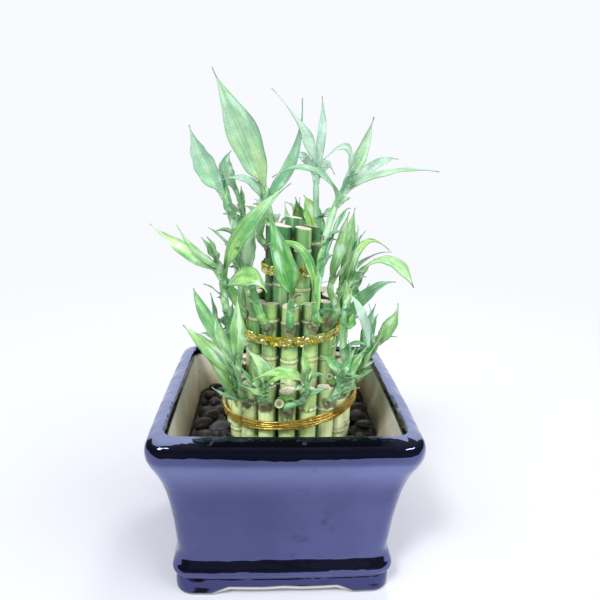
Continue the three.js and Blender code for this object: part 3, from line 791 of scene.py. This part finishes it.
def add_cane(tier, number):
    cut, nodes = cane_heights(tier, number)
    seed = TIERS[tier][0] * 100 + number
    rings = [(CANE_RADIUS, CANE_FOOT)]
    for height in nodes:
        rings += [(CANE_RADIUS + grow, height + rise) for grow, rise in NODE_RINGS]
    rings += [(CANE_RADIUS, cut - 0.9), (CANE_RADIUS - 0.12, cut - 0.25), (CANE_RADIUS - 0.5, cut)]
    rings += [(CANE_RADIUS - 1.1, cut - 0.12), (CANE_RADIUS * 0.45, cut - 0.3), (0.4, cut - 0.15)]
    cane = turned(rings, CANE_SIDES)
    outward = outward_of(tier, number)
    place = outward * TIERS[tier][1] + Vector((BUNDLE_X, 0, 0))
    lean = Matrix.Rotation(chance(seed + 9) * tau, 3, "Z")
    girth = between(0.93, 1, seed + 21)
    shoot_height = PLACED_SHOOTS.get((tier, number), [-99])[0]
    marks = {"ring": [], "cut": [], "stain": [], "gap_shade": []}
    for vertex in cane.data.vertices:
        radius, height = vertex.co.xy.length, vertex.co.z
        near = min((abs(height - one + 0.1) for one in nodes), default=99)
        marks["ring"].append(1 - smooth(0.5, 2.6, near))
        on_cut = height > cut - 0.4 and radius < CANE_RADIUS - 0.3
        marks["cut"].append(1 if on_cut else 0)
        turned_out = vertex.co.xy.normalized().dot(outward.xy)
        # Painted shade on the side of the cane turned in towards the bundle.
        marks["gap_shade"].append(0 if on_cut else 1 - smooth(0, 0.6, turned_out))
        facing = smooth(-0.2, 0.9, turned_out)
        marks["stain"].append(facing * (1 - smooth(1, 7, abs(height - shoot_height + 2))))
        uneven = noise.noise(Vector((vertex.co.x * 0.2, vertex.co.y * 0.2, height * 0.03 + seed)))
        slant = 0.12 * (lean @ vertex.co).x * smooth(cut - 6, cut, height)
        body = vertex.co.xy * (girth + 0.04 * uneven) if radius > 1 else vertex.co.xy
        vertex.co = Vector((body.x + place.x, body.y + place.y, height + slant)) * MM
    paint(cane, tone=chance(seed + 70), **marks)
    node = node_name(tier, number)
    settle(cane, f"{node}_stalk", CANE, [node], angle=60)


# ---------- shoots and leaves

# Lengths below are in millimetres.  Each shoot: the height at which it leaves its cane, its radius, the
# points of its stem, and its leaves.  Each leaf: the share of the stem at which it leaves, the point half way
# along it, its tip, its greatest width, its turn about its own midrib in degrees, and what is special to it,
# where anything is.
PLACED_SHOOTS = {
    ("inner", 5): (194, 2.2, [(-15, -4, 211), (-13, -3, 228)], [
        (0.95, (-28.5, -4, 259.5), (-44, 4, 292), 18, 80,
         {"pale": 0.1, "tone": 0.6, "dry": 0.09, "widest": 0.42, "taper": 1.6}),
        (0.8, (-23, -8, 232), (-38, -12, 232), 5.5, 65, {"tone": 0, "pale": 0.5}),
        (0.88, (2, -6, 246), (6, -4, 277), 7.5, -70,
         {"twist": 40, "widest": 0.3, "taper": 1.5, "tone": 0, "pale": 0.1}),
    ]),
    ("middle", 12): (152, 2.3, [(-19, -26, 170), (-23, -22, 185), (-30, -15, 205), (-37, -8, 223)], [
        (1, (-49, -4, 242), (-57, 2, 261), 13, 75, {"pale": 0.3, "dry": 0.04}),
        (0.92, (-38, -3, 231), (-46, 4, 238), 5, 60),
        (0.55, (-22, -24, 198), (-17, -22, 209), 8, -60, {"pale": 0.5}),
    ]),
    ("outer", 16): (107, 2.6, [(-33, -21, 148), (-36, -20, 165), (-38, -18, 184)], [
        (0.97, (-61, -2, 191), (-83, 10, 204), 8.8, 60),
        (1, (-52, -16, 192), (-63, -14, 207), 4.5, 60, {"pale": 0.3}),
        (1, (-43, -22, 194), (-48, -24, 202), 7, 60),
        (0.98, (-41, -28, 196), (-44, -34, 204), 8, 60, {"tone": 1}),
        (0.93, (-22, -31, 210), (0, -24, 232), 10, -75, {"tone": 0.6}),
        (0.86, (-22, -34, 182), (-12, -42, 176), 12, -55, {"pale": 0.1, "tone": 0.7}),
    ]),
    ("outer", 17): (107, 2.6, [(-28, -36, 132)], [
        (0.9, (-46, -26, 158), (-53, -24, 173), 8.5, 70),
        (0.95, (-37, -34, 148), (-40, -32, 161), 7.5, 70),
        (1, (-28, -38, 154), (-28, -34, 172), 9, 0, {"tone": 0.8}),
        (0.8, (-44, -44, 145), (-56, -44, 158), 10, 55),
        (0.7, (-35, -50, 140), (-48, -52, 156), 4, 40),
        (0.4, (-35.9, -44, 128), (-44.8, -44, 142), 7, 60, {"tone": 0.8}),
        (0.3, (-32.5, -46, 118), (-41.2, -46, 123), 4.5, 30, {"tone": 0.3}),
        (0.5, (-28, -45, 130), (-31.5, -45, 140), 6, 60, {"pale": 0.4}),
    ]),
    ("outer", 18): (108, 2, [(-14, -44, 119), (-11, -47, 126)], [
        (0.9, (-14, -48, 136), (-23, -46, 146), 8, 70, {"pale": 0.3}),
        (0.7, (-16, -52, 123), (-25, -56, 129), 6, 40, {"tone": 0.9}),
        (0.3, (-20, -46, 126), (-25.9, -46, 136), 5.5, 60, {"tone": 0.4}),
        (0.8, (-6, -52, 133), (4, -54, 130), 7, -45, {"tone": 0.7, "pale": 0}),
    ]),
    ("outer", 1): (106, 1.8, [(8.5, -41, 112.5), (11, -43, 119), (11, -45, 127)], [
        (1, (9, -47, 137), (8, -45, 148), 6, 65, {"tone": 1, "twist": 0}),
        (0.95, (-3, -50, 134), (-19, -52, 130), 6.5, 45),
        (0.9, (15, -47, 131), (20, -50, 132), 4, -30),
    ]),
    ("outer", 3): (109, 2.4, [(31, -37, 121), (35, -38, 133)], [
        (0.3, (36.7, -39, 132), (45, -39, 146), 6.5, -70, {"tone": 0.8}),
        (0.25, (33, -38, 132), (38.5, -38, 145), 6, -80, {"tone": 0.4}),
        (0.7, (26, -40, 134), (18, -41, 140), 7.5, 60),
        (0.9, (36, -36, 140), (34, -34, 147), 5, 80),
        (1, (44, -38, 141), (34, -50, 143), 4, 0),
    ]),
    ("outer", 5): (111, 3.3, [(42, -20, 124), (50, -28, 143)], [
        (1, (58, -36, 156), (60, -38, 170), 9.5, -80, {"tone": 0.9}),
        (0.97, (40.8, -34, 163), (33.2, -33, 174), 5.5, -85, {"pale": 1, "tone": 0, "twist": 0}),
        (0.93, (46.8, -34, 157), (44.8, -33, 168), 5, 80, {"tone": 0.2}),
        (0.6, (45, -44, 132), (36, -56, 133), 5, -20),
        (0.35, (51, -31, 142), (53, -36, 155), 6, -70, {"tone": 0.8}),
        (0.2, (43, -38, 134), (50, -38, 147), 7, -70, {"tone": 1, "pale": 0}),
    ]),
    ("outer", 4): (111, 2.4, [(33, -26, 139), (33, -26, 161), (36, -20, 174), (39, -18, 179)], [
        (0.98, (55, -20, 190), (71.5, -26, 176), 8, -50,
         {"pale": 0.3, "tone": 1, "widest": 0.7, "taper": 0.3}),
        (0.7, (43, -10, 197), (60, -8, 194), 4.5, -50),
        (0.55, (36, -30, 157), (38, -31, 167), 8, -80),
        (0.97, (40, -22, 170), (46, -26, 178), 5.5, -60),
        (0.4, (41, -28, 143), (47, -31, 141), 3.5, -20),
        (0.12, (32.8, -28, 156), (38.6, -26, 171), 7.5, -75, {"tone": 0.9, "pale": 0.1}),
        (0.9, (41, -6, 190), (42, 2, 207), 5, -80, {"pale": 0.7}),
    ]),
    ("middle", 3): (154, 2.2, [(25, -16, 171), (26, -16, 180)], [
        (1, (30, -12, 200), (35, -8, 216), 9, -80),
        (0.9, (33, -22, 189), (34, -26, 205), 5, -60),
    ]),
    ("middle", 2): (153, 2.4, [
        (16, -30, 158), (16, -29, 177), (19, -24, 197), (24, -20, 217), (31, -18, 232),
    ], [
        (1, (39, -14, 250), (45, -12, 268), 7.5, -80, {"tone": 0.7}),
        (0.95, (54, -17, 239), (83, -15, 240), 4.2, -45, {"pale": 0.5}),
        (0.97, (49, -8, 243), (62, -4, 246), 5.5, -75, {"pale": 0.7, "tone": 0.1}),
        (1, (30, -22, 251), (17, -26, 245), 5, 70, {"pale": 0.8, "twist": 0}),
        (0.93, (10, -24, 240), (-10, -28, 235), 4, 60, {"tone": 0.3}),
        (0.88, (30, -26, 226), (25, -30, 221), 5, 40),
        (0.55, (26, -28, 212), (32, -30, 220), 3.6, -40),
        (0.42, (7, -29, 196), (-13, -28, 199), 6, 50),
    ]),
    ("inner", 2): (194, 2.1, [(17, -4, 212), (15, -4, 238)], [
        (1, (6.5, -8, 260), (-11, -10, 281), 7.5, 70, {"pale": 0.7, "dry": 0, "taper": 4, "widest": 0.3}),
        (0.97, (18, 1, 260), (17.5, 3, 279), 5.5, 10,
         {"pale": 0.7, "tone": 0.1, "twist": 0, "channel": 0.2, "taper": 0.8}),
        (0.93, (21, 4, 242), (27, 6, 236), 6.5, -60, {"pale": 0.9}),
        (0.95, (8, 2, 246), (1, 4, 244), 5, 65, {"pale": 0.9}),
        (0.12, (14, -3, 214), (8.8, 0, 224), 11, 80, {"tone": 1, "pale": 0, "twist": 0, "channel": 0.2}),
    ]),
    ("middle", 10): (152, 1.7, [(-24, 6, 190), (-27, 6, 212), (-31, 5, 226)], [
        (1, (-37, 6, 238), (-34, 10, 248), 9, 30, {"tone": 0.3, "twist": 0}),
        (0.75, (-31, 0, 216), (-36, 0, 221), 2.8, 50),
    ]),
    ("middle", 1): (152, 2.2, [(1, -32, 164), (2, -34, 172)], [
        (1, (-3, -40, 192), (-12, -34, 218), 13.5, 85,
         {"tone": 0.5, "pale": 0, "widest": 0.42, "taper": 0.3, "channel": 0.8}),
    ]),
    ("inner", 3): (193, 2, [(13, 19, 200), (9, 21, 205)], [
        (1, (7, 18, 213), (4.5, 12, 222), 10, 0,
         {"tone": 1, "pale": 0, "twist": 0, "channel": 0.2, "widest": 0.25}),
        (0.85, (16, 32, 214), (21, 46, 213), 8, 20),
        (1, (5, 33, 213), (-1, 44, 216), 7.5, -20),
    ]),
    ("inner", 4): (190, 2, [(-7, 20, 197), (-9, 24, 204)], [
        (1, (-15, 34, 214), (-21, 46, 217), 8, 15),
        (0.9, (-7, 39, 208), (-6, 53, 203), 7, 0),
        (0.8, (-18, 28, 210), (-27, 31, 214), 7, 30),
    ]),
}
# Shoots round the sides and the back: cane, stem length, lean in degrees, leaves, length of a common leaf.
BACK_SHOOTS = [
    ("outer", 6, 16, 16, 3, 30), ("outer", 8, 44, 20, 5, 44), ("outer", 10, 28, 26, 4, 44),
    ("outer", 12, 44, 20, 5, 44), ("outer", 14, 18, 16, 3, 30), ("middle", 5, 20, 16, 4, 36),
    ("middle", 7, 16, 26, 5, 44), ("middle", 9, 24, 16, 4, 38),
]
LEAF_SPREAD = 42
LEAF_RISE = (38, 78)
LEAF_VARY = 0.15
LEAF_WIDTH = (6.5, 10)
LEAF_TURN = 45

BLADE_ROWS = 44
BLADE_COLUMNS = 10
BLADE_THICKNESS = 0.4
SHEATH_LENGTH = 6.5                      # of a leaf's foot that wraps its stem
SHEATH_SHARE = 0.16                      # of a blade's chart
STEM_SIDES = 14
YOUNG_LEAVES = 0.055                     # for each millimetre of stem
DRY_SCALES = 0.05
# The least and the greatest length, width and dry share of a young leaf and of a dry scale.
YOUNG = [(9, 19), (3, 5.5), (0.02, 0.12)]
SCALE = [(4, 8), (1.5, 2.4), (0.7, 1)]
LEAST_HALF = 0.28                        # half the width of a blade at its thinnest
# Shoots with more young leaves than the others, and how many times more.
BUSHY = {
    ("outer", 17): 5, ("outer", 18): 7, ("outer", 3): 6, ("outer", 5): 6, ("outer", 1): 3.5, ("outer", 4): 3,
}


def reach_out(start, outward, swing, rise, reach, droop):
    """The middle and the tip of a leaf that swings round from outward and rises, both in degrees."""
    heading = Matrix.Rotation(radians(swing), 3, "Z") @ outward
    rise = radians(rise)
    tip = start + heading * (reach * cos(rise)) + UP * (reach * sin(rise))
    return start.lerp(tip, 0.5) + UP * (droop * reach), tip


def ruled_shoot(tier, cane, length, lean, count, leaf_length):
    """A shoot whose leaves turn to either side by turns, and rise more and more towards its top."""
    outward = outward_of(tier, cane)
    total, radius, *_, shoot_height = TIERS[tier]
    foot = outward * (radius + CANE_RADIUS + 3) + Vector((BUNDLE_X, 0, shoot_height + 4))
    tilt = radians(lean)
    direction = outward * sin(tilt) + UP * cos(tilt)
    top = foot + direction * length
    half = foot + direction * (length / 2) + outward * 2
    leaves = []
    for number in range(count):
        seed = total * 1000 + cane * 10 + number
        share = number / (count - 1)
        start = foot.lerp(top, lerp(0.45, 1, share))
        swing = (1 if number % 2 else -1) * LEAF_SPREAD * lerp(1, 0.4, share) * between(0.7, 1.2, seed)
        reach = leaf_length * between(1 - LEAF_VARY, 1 + LEAF_VARY, seed + 300)
        droop = lerp(0.14, 0.04, share)
        mid, tip = reach_out(start, outward, swing, lerp(*LEAF_RISE, share), reach, droop)
        width = between(*LEAF_WIDTH, seed + 600)
        turn = LEAF_TURN * (2 * chance(seed + 800) - 1)
        leaves.append((lerp(0.5, 1, share), mid, tip, width, turn))
    return shoot_height, 2.1, [half, top], leaves


def stem_path(tier, cane, height, points):
    outward = outward_of(tier, cane)
    reach = TIERS[tier][1] + CANE_RADIUS
    foot = []
    for along, rise in ((-2.5, -1), (3, 4)):
        foot.append(outward * (reach + along) + Vector((BUNDLE_X, 0, height + rise)))
    return smooth_path(foot + [Vector(point) for point in points])


def tube(path, radius_at, steps, sides):
    """A closed tube along a path, without a twist, with rounded ends."""
    across = tangent_of(path, 0).orthogonal().normalized()
    frames = []
    for step in range(steps + 1):
        share = step / steps
        tangent = tangent_of(path, share)
        across = (across - tangent * across.dot(tangent)).normalized()
        frames.append((path(share), across.copy(), tangent.cross(across)))

    def place(u, v):
        centre, right, ahead = frames[round(v * steps)]
        angle = u * tau
        return (centre + (right * cos(angle) + ahead * sin(angle)) * radius_at(v)) * MM

    return charted_grid(sides, steps, place, closed=True)


def leaf_width_at(share, widest, taper):
    """The width of a blade as a part of its greatest, which is at `widest`; `taper` thins the tip."""
    power = math.log(0.5) / math.log(0.05 + 0.95 * widest)
    return sin(pi * (0.05 + 0.95 * share) ** power) ** (1.1 + 0.6 * share * taper)


def blade(leaf, stem, stem_radius, seed):
    """One leaf: a sheath that wraps the stem, then a channelled blade that is widest near a third."""
    share, mid, tip, width, turn, *rest = leaf
    mid, tip = Vector(mid), Vector(tip)
    special = rest[0] if rest else {}
    base = stem(share)
    control = mid * 2 - (base + tip) / 2
    below = stem(max(share - 0.12, 0))
    below = base + (below - base).normalized() * min(SHEATH_LENGTH, (below - base).length)

    def spine(v):
        if v < 0:
            return base.lerp(below, -v / SHEATH_SHARE)
        return base * (1 - v) ** 2 + control * 2 * v * (1 - v) + tip * v * v

    def eased(v):
        """The spine with its corner at the stem rounded off."""
        reach = 0.06 * smooth(-SHEATH_SHARE, -SHEATH_SHARE / 2, v) * (1 - smooth(0.2, 0.3, v))
        return (spine(v - reach) + spine(v) + spine(v + reach)) / 3

    heading = Vector((tip.x - base.x, tip.y - base.y, 0)).normalized()
    level = heading.cross(UP)
    twist = special.get("twist", between(-25, 25, seed + 31))
    ripple = between(0.2, 0.8, seed + 37)
    waves = between(1.5, 3.5, seed + 41)
    channel = special.get("channel", between(0.15, 0.75, seed + 43))
    lopsided = between(-0.12, 0.12, seed + 47)
    widest = special.get("widest", 0.4)
    taper = special.get("taper", 1)

    def place(u, v):
        along = (v - SHEATH_SHARE) / (1 - SHEATH_SHARE)
        along = max(along, 0) if along >= 0 else along * SHEATH_SHARE
        tangent = (eased(min(along + 0.01, 1)) - eased(along - 0.01)).normalized()
        right = (level - tangent * level.dot(tangent)).normalized()
        grown = smooth(0, 0.35, along)
        angle = -radians(turn * smooth(-0.05, 0.3, along) + twist * (along - 0.5) * grown)
        right = Matrix.Rotation(angle, 3, tangent) @ right
        above = right.cross(tangent)
        wrap = 1 - smooth(0, 0.22, along)
        half = max(width / 2 * leaf_width_at(max(along, 0), widest, taper), LEAST_HALF)
        half *= 1 + lopsided * (2 * u - 1) * grown + 0.05 * sin(waves * 9 * along) * grown
        half = lerp(half, max(half, stem_radius * 2.4), wrap * smooth(-SHEATH_SHARE, -0.05, along))
        half = max(half, stem_radius * 1.6 * (1 - smooth(-SHEATH_SHARE, 0, along)))
        bend = lerp(channel / max(half, 0.5), 1 / (stem_radius * 1.12), wrap)
        offset = (2 * u - 1) * half
        rise = (1 - cos(bend * offset)) / bend - stem_radius * 1.1 * wrap
        flutter = ripple * sin(waves * tau * along + 2 * u) * (2 * u - 1) ** 2
        rise += flutter * grown * 2 * half / width
        return (eased(along) + right * (sin(bend * offset) / bend) + above * rise) * MM

    columns, rows = special.get("columns", BLADE_COLUMNS), special.get("rows", BLADE_ROWS)
    piece = charted_grid(columns, rows, place, thickness=BLADE_THICKNESS * MM)
    paint(
        piece, tone=special.get("tone", chance(seed)), draw=chance(seed + 13),
        pale=special.get("pale", 0.3 * chance(seed + 3)),
        dry=special.get("dry", between(0.01, 0.06, seed + 5)),
    )
    return piece


def stem_piece(path, radius, seed):
    """A shoot's stem, in sheaths that each step in a little above the one below."""
    length = sum((path((n + 1) / 20) - path(n / 20)).length for n in range(20))
    sheaths = max(length / between(6, 9, seed), 2)

    def radius_at(v):
        step = v * sheaths % 1
        collar = 1 + 0.16 * smooth(0, 0.9, step) * (1 - smooth(0.93, 1, step))
        cap = 1 if 0 < v < 1 else 0.05
        return radius * lerp(1.05, 0.7, v) * collar * cap

    piece = tube(path, radius_at, max(int(length * 1.2), 16), STEM_SIDES)
    tone, pale = between(0.1, 0.6, seed + 8), 0.3 * chance(seed + 11)
    paint(piece, tone=tone, pale=pale, dry=0, draw=chance(seed + 13))
    return piece


def husk(path, radius, seed):
    """The ragged dry collar where a shoot leaves its cane."""

    def place(u, v):
        along = 0.02 + v * between(2.4, 4.5, seed) / max((path(1) - path(0)).length, 10)
        tangent = tangent_of(path, along)
        right = tangent.orthogonal().normalized()
        turn = Matrix.Rotation(u * tau, 3, tangent)
        ragged = noise.noise(Vector((cos(u * tau), sin(u * tau), seed + v * 2)) * 1.6)
        flare = radius * (1.5 - 0.35 * v + 0.4 * ragged)
        return (path(along + 0.015 * ragged * v) + turn @ right * flare) * MM

    return charted_grid(24, 5, place, thickness=0.35 * MM)


def little_leaves(path, outward, seed, bushy):
    """Young leaves and dry scales that sit low on a stem."""
    length = (path(1) - path(0)).length
    young_count = round(length * YOUNG_LEAVES * bushy)
    leaves = []
    for number in range(young_count + round(length * DRY_SCALES)):
        draw = seed + 1000 + number * 17
        young = number < young_count
        share = between(0.3, 0.95, draw)
        start = path(share)
        swing, rise = between(-85, 85, draw + 1), between(15, 70, draw + 2)
        reach, width, dry = (
            between(*limits, draw + 3 + step) for step, limits in zip((0, 2, 3), YOUNG if young else SCALE)
        )
        mid, tip = reach_out(start, outward, swing, rise, reach, between(0, 0.22, draw + 4))
        special = {"dry": dry, "rows": 18, "columns": 6}
        leaves.append((share, mid, tip, width, between(-80, 80, draw + 7), special))
    return leaves


def add_shoot(tier, cane, height, radius, points, leaves):
    path = stem_path(tier, cane, height, points)
    seed = TIERS[tier][0] * 37 + cane * 101
    leaves = leaves + little_leaves(path, outward_of(tier, cane), seed, BUSHY.get((tier, cane), 1))
    node = node_name(tier, cane)
    settle(stem_piece(path, radius, seed), f"{node}_shoot", SHOOT, [node], angle=60)
    settle(husk(path, radius, seed), f"{node}_husk", HUSK, [node], angle=60)
    blades = []
    for number, leaf in enumerate(leaves):
        stem_radius = radius * lerp(1, 0.7, leaf[0])
        blades.append(blade(leaf, path, stem_radius, seed + number * 7))
    settle(joined(blades), f"{node}_leaves", LEAF, [node], angle=70)


# Short stubs where side shoots were cut off: the cane, the stub's foot, its cut end and its radius.
STUBS = [
    (("outer", 1), (11.5, -37.5, 106), (12.5, -41.5, 119), 1.95),
    (("outer", 18), (-3.2, -38, 110), (-4.3, -43.8, 112.2), 2.7),
    (("outer", 3), (27, -33.4, 120.5), (24.3, -36.6, 125.8), 2.2),
]


def add_stub(cane, foot, end, radius, number):
    foot, end = Vector(foot), Vector(end)
    length = (end - foot).length
    rings = [(radius * 1.25, -0.8), (radius * 1.1, 0.8), (radius, 2.4), (radius, length - 0.4)]
    rings += [(radius - 0.25, length), (radius - 0.5, length - 0.15), (radius * 0.5, length - 0.3)]
    rings += [(0.15, length - 0.2)]
    stub = turned(rings, CANE_SIDES)
    turn = (end - foot).to_track_quat("Z", "Y").to_matrix()
    marks = {"ring": [], "cut": [], "stain": [], "gap_shade": []}
    for vertex in stub.data.vertices:
        radial, height = vertex.co.xy.length, vertex.co.z
        marks["ring"].append(1 - smooth(0.2, 1.2, abs(height - length + 1)))
        on_cut = height > length - 0.35 and radial < radius - 0.3
        marks["cut"].append(0.4 * smooth(radius * 0.3, radius * 0.8, radial) if on_cut else 0)
        marks["stain"].append(0.6 if on_cut else 1 - smooth(0, 3, height))
        # Painted shade in the hollow middle of the cut end.
        marks["gap_shade"].append(1.6 * smooth(radius * 0.9, radius * 0.5, radial) if on_cut else 0)
        vertex.co = (turn @ vertex.co + foot) * MM
    paint(stub, tone=0, **marks)
    settle(stub, f"cut_stub_{number}", CANE, [node_name(*cane)], angle=60)


for number, stub in enumerate(STUBS, 1):
    add_stub(*stub, number)
for tier, (count, *_) in TIERS.items():
    for number in range(1, count + 1):
        add_cane(tier, number)
for (tier, cane), shoot in PLACED_SHOOTS.items():
    add_shoot(tier, cane, *shoot)
for tier, cane, *rule in BACK_SHOOTS:
    add_shoot(tier, cane, *ruled_shoot(tier, cane, *rule))

# ---------- ties

# Each tie: its tier, its height, its tilt in degrees and the height of its band.
TIES = {
    "lower_tie": ("outer", 98, 7, 6),
    "middle_tie": ("middle", 144, 2.4, 5),
    "upper_tie": ("inner", 182, 1.5, 5),
}
CANE_RING_RADIUS = 5.62                  # of a cane at a node, which a tie has to clear
TIE_GAP = 0.35
TIE_STEPS = 220


def tie_ring(tie):
    """The inner radius and the height of a tie's band, and a function that lays a point of it in place: one
    at an angle, a distance from the middle and a height, all before the tie is tilted."""
    tier, height, tilt, band = TIES[tie]
    slope = radians(tilt)
    reach = TIERS[tier][1] + CANE_RING_RADIUS + TIE_GAP
    inner = reach / cos(slope) + band / 2 * math.tan(slope) + 0.2
    turn = Matrix.Rotation(-slope, 3, "Y")

    def lay(angle, ring, rise):
        point = Vector((sin(angle) * ring, -cos(angle) * ring, rise))
        return (turn @ point + Vector((BUNDLE_X, 0, height))) * MM

    return inner, band, lay


def add_cord_tie(tie, strands):
    """Several turns of round cord, one above another, each a little loose."""
    inner, band, lay = tie_ring(tie)
    radius = band / strands / 2 * 0.95
    pieces = []
    for strand in range(strands):
        level = band * ((strand + 0.5) / strands - 0.5)

        def place(u, v):
            angle, round_cord = v * tau, u * tau
            sway = noise.noise(Vector((cos(angle) * 2, sin(angle) * 2, strand * 5)))
            ring = inner + radius + 0.25 + 0.45 * sway + radius * cos(round_cord)
            rise = level + 0.9 * noise.noise(Vector((cos(angle) * 3, sin(angle) * 3, strand * 9)))
            return lay(angle, ring, rise + radius * sin(round_cord))

        pieces.append(charted_grid(12, TIE_STEPS, place, closed=True))
    settle(joined(pieces), f"{tie}_cord", CORD, [tie], angle=70)


def add_tinsel_tie(tie, ribbons):
    """Crinkled foil ribbons wound round the tier."""
    inner, band, lay = tie_ring(tie)
    pieces = []
    for ribbon in range(ribbons):
        level = band * ((ribbon + 0.5) / ribbons - 0.5)
        width = band / ribbons * 1.5

        def place(u, v):
            angle = v * tau
            round_point = Vector((cos(angle), sin(angle), 0)) * inner
            crush = noise.noise(round_point * 0.6 + Vector((0, 0, ribbon * 11 + u * 1.7)))
            fold = noise.noise(round_point * 1.7 + Vector((0, 0, ribbon * 7 + u * 4)))
            ring = inner + 0.9 + 0.8 * crush + 0.35 * fold
            return lay(angle, ring, level + width * (u - 0.5) * (1 + 0.5 * fold) + 0.7 * crush)

        pieces.append(charted_grid(5, TIE_STEPS, place, thickness=0.12 * MM))
    settle(joined(pieces), f"{tie}_tinsel", TINSEL, [tie], angle=18)


add_cord_tie("lower_tie", 4)
add_tinsel_tie("middle_tie", 3)
add_tinsel_tie("upper_tie", 3)

# ---------- studio

def add_lamp(kind, name, aim, energy, place=(0, 0, 0), glossy=True, **shape):
    """A lamp whose light travels along aim."""
    data = bpy.data.lights.new(name, kind)
    data.energy = energy
    for key, value in shape.items():
        setattr(data, key, value)
    lamp = bpy.data.objects.new(name, data)
    bpy.context.scene.collection.objects.link(lamp)
    lamp.location = place
    lamp.rotation_euler = Vector(aim).to_track_quat("-Z", "Y").to_euler()
    lamp.visible_glossy = glossy


def add_dark_room():
    """The dark side of the room in front of the table, which only reflections show."""
    finish = Finish("dark_room")
    black = finish.shade(base_color=(0.003, 0.003, 0.004), roughness=1.0)
    upright = Matrix.Rotation(pi / 2, 4, "X")
    sideways = Matrix.Rotation(pi / 2, 4, "Y")
    cards = {
        "dark_wall": (Matrix.Translation((0, -1.7, 1.1)) @ upright, (6, 2.2)),
        "dark_floor": (Matrix.Translation((0, -0.93, 0.001)), (6, 1.54)),
        "dark_ceiling": (Matrix.Translation((0, -0.9, 2.2)), (6, 1.6)),
        "dark_beam": (Matrix.Translation((1.1, 0.75, 2.2)), (2.8, 1.7)),
        "dark_left": (Matrix.Translation((-1.6, -0.25, 0.75)) @ sideways, (1.5, 2.9)),
        "dark_right": (Matrix.Translation((1.6, -0.25, 0.75)) @ sideways, (1.5, 2.9)),
    }
    for name, (place, (width, depth)) in cards.items():
        nothing_selected()
        bpy.ops.mesh.primitive_plane_add(size=1)
        card = bpy.context.object
        card.name = name
        card.data.transform(place @ Matrix.Diagonal((width, depth, 1, 1)))
        card.data.materials.append(black)
        card.visible_camera = card.visible_diffuse = card.visible_shadow = False
        card.visible_transmission = card.visible_volume_scatter = False


def add_floor():
    """A pale floor that fades into the white room."""
    nothing_selected()
    bpy.ops.mesh.primitive_plane_add(size=2 * FLOOR_END, location=(0, 0, -0.0003))
    floor = bpy.context.object
    floor.name = "studio_floor"
    finish = Finish("pale_floor", specular_ior_level=0.1, roughness=0.8, base_color=FLOOR_COLOUR)
    away = finish.node("ShaderNodeVectorMath", {0: finish.place}, output="Value", operation="LENGTH")
    fade = (1 - away.ease(FLOOR_START, FLOOR_END)) * (1 - away.ease(0.075, 0.15) * (1 - FLOOR_BODY))
    floor.data.materials.append(finish.shade(alpha=fade))


def add_world():
    """A white room: full strength where it is seen or reflected, weaker where it lights what stands in it."""
    world = bpy.data.worlds.new("studio")
    world.use_nodes = True
    tree = world.node_tree
    background = tree.nodes["Background"]
    background.inputs["Color"].default_value = (*ROOM_COLOUR, 1)
    path = tree.nodes.new("ShaderNodeLightPath")
    weaken = tree.nodes.new("ShaderNodeMath")
    weaken.operation = "MULTIPLY_ADD"
    weaken.inputs[1].default_value = ROOM_LIGHT - 1
    weaken.inputs[2].default_value = 1
    tree.links.new(path.outputs["Is Diffuse Ray"], weaken.inputs[0])
    tree.links.new(weaken.outputs[0], background.inputs["Strength"])
    bpy.context.scene.world = world


ROOM_COLOUR = (0.94, 0.955, 0.985)
ROOM_LIGHT = 0.48                        # the share of it that lights the object from all round
FLOOR_COLOUR = (0.52, 0.53, 0.58)
FLOOR_BODY = 0.6                         # how solid the floor is: the room shines through the rest
FLOOR_START = 0.2                        # metres from the middle of the floor to where it begins to fade
FLOOR_END = 0.9
SKY = (0.93, 0.97, 1)

add_floor()
add_dark_room()
add_world()
add_lamp("SUN", "key", (0.5, 0.7, -1.0), 2.2, glossy=False, angle=radians(12))
add_lamp("SUN", "side_fill", (-0.8, 0.3, -0.6), 1.95, glossy=False, angle=radians(60))
add_lamp("SUN", "front_fill", (0.0, 1.0, -0.3), 1.2, glossy=False, angle=radians(50))
add_lamp("AREA", "window_left", (0.9, 0.7, -0.9), 8, place=(-0.9, -0.75, 1.05), size=0.5, color=SKY)
add_lamp(
    "AREA", "window_right", (-0.9, 0.75, -0.9), 6, place=(0.9, -0.9, 1.0), color=SKY,
    shape="RECTANGLE", size=1.0, size_y=0.12,
)
add_lamp("AREA", "window_back", (-0.3, -0.9, -1.0), 9, place=(0.35, 0.9, 1.25), glossy=False, size=0.3)
bpy.context.scene.view_settings.view_transform = "Standard"
